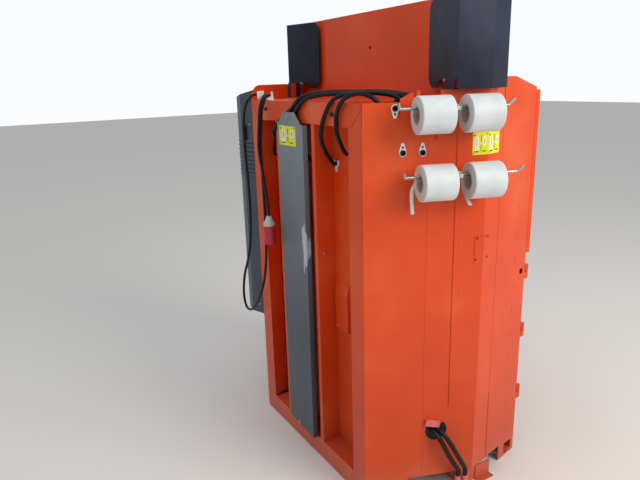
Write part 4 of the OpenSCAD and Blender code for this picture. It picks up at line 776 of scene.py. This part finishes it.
# Hangs from the cord's end: profiles are radii and heights below it
PLUG_AT = (POWER_ROUTE[-1] - [0, 0, 0.0003], *np.eye(3))
SLEEVE = [
    [0.0235, -0.0462], [0.0265, -0.050], [0.0305, -0.058], [0.0310, -0.062], [0.0300, -0.068],
    [0.0282, -0.070], [0.0282, -0.078], [0.0274, -0.080], [0.0274, -0.088], [0.0282, -0.090],
    [0.0282, -0.098], [0.0274, -0.100], [0.0274, -0.108], [0.0284, -0.112], [0.0284, -0.116],
    [0.0308, -0.123], [0.0312, -0.1255], [0.0312, -0.1318], [0.0250, -0.1318], [0.0246, -0.0890]]
COLLAR = [[0.0262, -0.0462], [0.0262, -0.0340], [0.0240, -0.0310], [0.0175, -0.0200], [0.0150, -0.0120],
          [0.0112, -0.0010], [0.0080, -0.0002]]
PIN = [[0.0025, -0.0892], [0.0025, -0.1210], [0.0016, -0.1224]]
PIN_CIRCLE = 0.016
plug = solid("plug_body", turned_shape(SLEEVE[::-1], PLUG_AT, 40), RED)
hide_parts("power_plug")
plug_collar = solid("plug_collar", turned_shape(COLLAR, PLUG_AT, 40), GREY_PLASTIC)
pins = [turned_shape(PIN, shifted(PLUG_AT, PIN_CIRCLE * np.cos(t), PIN_CIRCLE * np.sin(t)), 12)
        for t in np.arange(5) * 2 * np.pi / 5]
plug_pins = solid("plug_pins", joined(pins), STEEL)

# ---------------------------------------------------------------- power cabinet

CAB_ORIGIN, cab_along, _, cab_out = on_b(0.120, 0.0, 0.0, True)
CAB_BACK = (CAB_ORIGIN, cab_out, UP, -cab_along)
bevel = 0.038 * cab_along + 0.065 * cab_out
bevel /= np.linalg.norm(bevel)
CAB_BEVEL = (CAB_ORIGIN + cab_out * 0.204, bevel, UP, np.cross(UP, bevel))
CAB_DOOR = on_b(0.314, 0.0, 0.2723, True)
LOUVRE_Z = [1.425 - 0.022 * i for i in range(9)]
HOOD_RISE = 0.0075


def louvre_hood(at, w):
    """Pressed hood over one slot: out = rise (1 - |u|^6) sin(k pi / 2), with u from -1 to 1 along
    the slot and k from 0 to 1 down it, 1 mm thick and sunk to the sheet at both ends."""
    u = np.linspace(-1, 1, 25)[:, None]
    k = np.linspace(0, 1, 7)[None, :]
    out = HOOD_RISE * (1 - np.abs(u) ** 6) * np.sin(k * np.pi / 2)
    x = w / 2 * u + 0 * k
    y = 0.0125 - 0.0150 * k + 0 * u
    face = np.stack([x, y, out + 0.0004], -1)
    back = np.stack([x, y, np.maximum(out - 0.0010, -0.0006)], -1)[:, ::-1]
    ring = np.concatenate([face, back], 1)
    return placed(ring.reshape(-1, 3), at), capped(*ring.shape[:2])


hoods = [louvre_hood(shifted(CAB_BACK, 0.120, z), 0.176) for z in LOUVRE_Z]
hoods += [louvre_hood(shifted(CAB_BEVEL, 0.0365, z), 0.064) for z in LOUVRE_Z]
solid("cabinet_louvres", joined(hoods), CABINET_COAT)
hoods = [louvre_hood(shifted(CAB_DOOR, 0.0, z), 0.192) for z in LOUVRE_Z]
solid("door_louvres", joined(hoods), CABINET_COAT, "cabinet_door")
latch = shifted(CAB_BACK, 0.181, 1.465)
latch_plates = [plate_shape(rounded_box(0.030, 0.092, 0.005), 0.004, latch),
                plate_shape(rounded_box(0.019, 0.070, 0.004), 0.005, shifted(latch, z=0.004), 0.0015)]
solid("cabinet_latch", joined(latch_plates), DARK)
barrel = [[0.0062, 0.0085], [0.0062, 0.0115], [0.0052, 0.0122]]
solid("cabinet_lock_barrel", turned_shape(barrel, shifted(latch, y=-0.006), 24), STEEL)
many("cabinet_screws", STEEL, pan_screw, (0.0050, 0.0026),
     [shifted(CAB_BACK, x, y) for x in (0.147, 0.060) for y in (1.512, 0.520)])

# ---------------------------------------------------------------- control panel


def on_panel(out, z):
    """Frame on the control panel, whose face looks along the side."""
    origin, along, _, outward = on_b(0.4805, 0.0, 0.0, True)
    return shifted((origin, -outward, UP, along), -out, z)


EMERGENCY_COLLAR = [[0.0116, 0.0], [0.0300, 0.0], [0.0296, 0.0014], [0.0116, 0.0016]]
START_BEZEL = [[0.0113, 0.0], [0.0170, 0.0], [0.0160, 0.0030], [0.0122, 0.0036], [0.0113, 0.0030]]
BUTTON_Z = 1.310
solid("emergency_collar", ring_shape(EMERGENCY_COLLAR, on_panel(0.080, BUTTON_Z)), YELLOW)
solid("start_bezel", ring_shape(START_BEZEL, on_panel(0.160, BUTTON_Z)), STEEL)
solid("switch_plate", film_plate(0.060, 0.060, 0.006, on_panel(0.120, 1.440)), YELLOW, smooth=0)
solid("button_caption", film_plate(0.034, 0.011, 0.002, on_panel(0.160, 1.342)), WHITE_INK, smooth=0)
many("panel_screws", STEEL, pan_screw, (0.0045, 0.0024),
     [on_panel(out, z) for out in (0.040, 0.210) for z in (1.262, 1.498)])

# Stitch welds of the ribs on the bale door
DOOR_Y, STITCH = -0.4192, 0.055
stitches = [weld_bead([x, DOOR_Y, z], [x + STITCH, DOOR_Y, z])
            for z in (0.2702, 0.5702, 0.8452) for x in (-0.470, -0.250, -0.030, 0.190, 0.370)]
solid("rib_welds", joined(stitches), ORANGE, "bale_door")

# ---------------------------------------------------------------- floor and light

HALF_FLOOR = 30
corners = [(x * HALF_FLOOR, y * HALF_FLOOR, 0) for x, y in ((-1, -1), (1, -1), (1, 1), (-1, 1))]
floor_mesh = bpy.data.meshes.new("floor")
floor_mesh.from_pydata(corners, [], [(0, 1, 2, 3)])
floor = bpy.data.objects.new("floor", floor_mesh)
bpy.context.collection.objects.link(floor)
PALE, tree, shader, _ = material("pale_floor")
feed(tree, shader, {"Base Color": "#e8e6e3", "Roughness": 0.9})
floor_mesh.materials.append(PALE)

# The world lights the part at 0.54 and shows at 1.0 where the camera sees it
world = bpy.data.worlds.new("studio")
world.use_nodes = True
bpy.context.scene.world = world
tree = world.node_tree
rays = add(tree, "ShaderNodeLightPath").outputs
seen = calc(tree, "MAXIMUM", rays["Is Camera Ray"], rays["Is Transmission Ray"])
strength = ranged(tree, seen, 0.54, 1.0)
feed(tree, tree.nodes["Background"], {"Color": (0.96, 0.98, 1.0, 1.0), "Strength": strength})


def lamp(name, place, aim, size, power, colour):
    """Square area lamp at a place, aimed at a point."""
    data = bpy.data.lights.new(name, "AREA")
    data.shape = "SQUARE"
    data.size = size
    data.energy = power
    data.color = colour
    thing = bpy.data.objects.new(name, data)
    bpy.context.collection.objects.link(thing)
    z = np.subtract(place, aim)
    z /= np.linalg.norm(z)
    x = np.cross(UP, z)
    x /= np.linalg.norm(x)
    thing.matrix_world = Matrix([*np.column_stack([x, np.cross(z, x), z, place]).tolist(), [0, 0, 0, 1]])


lamp("side_light", (-4.6, -1.6, 3.6), (-0.4, 0, 0.9), 3.0, 178, (1, 0.955, 0.87))
lamp("top_light", (0.2, 1.6, 4.9), (0, 0.2, 1.0), 3.0, 30, (0.95, 0.97, 1))

bpy.context.scene.view_settings.view_transform = "Standard"
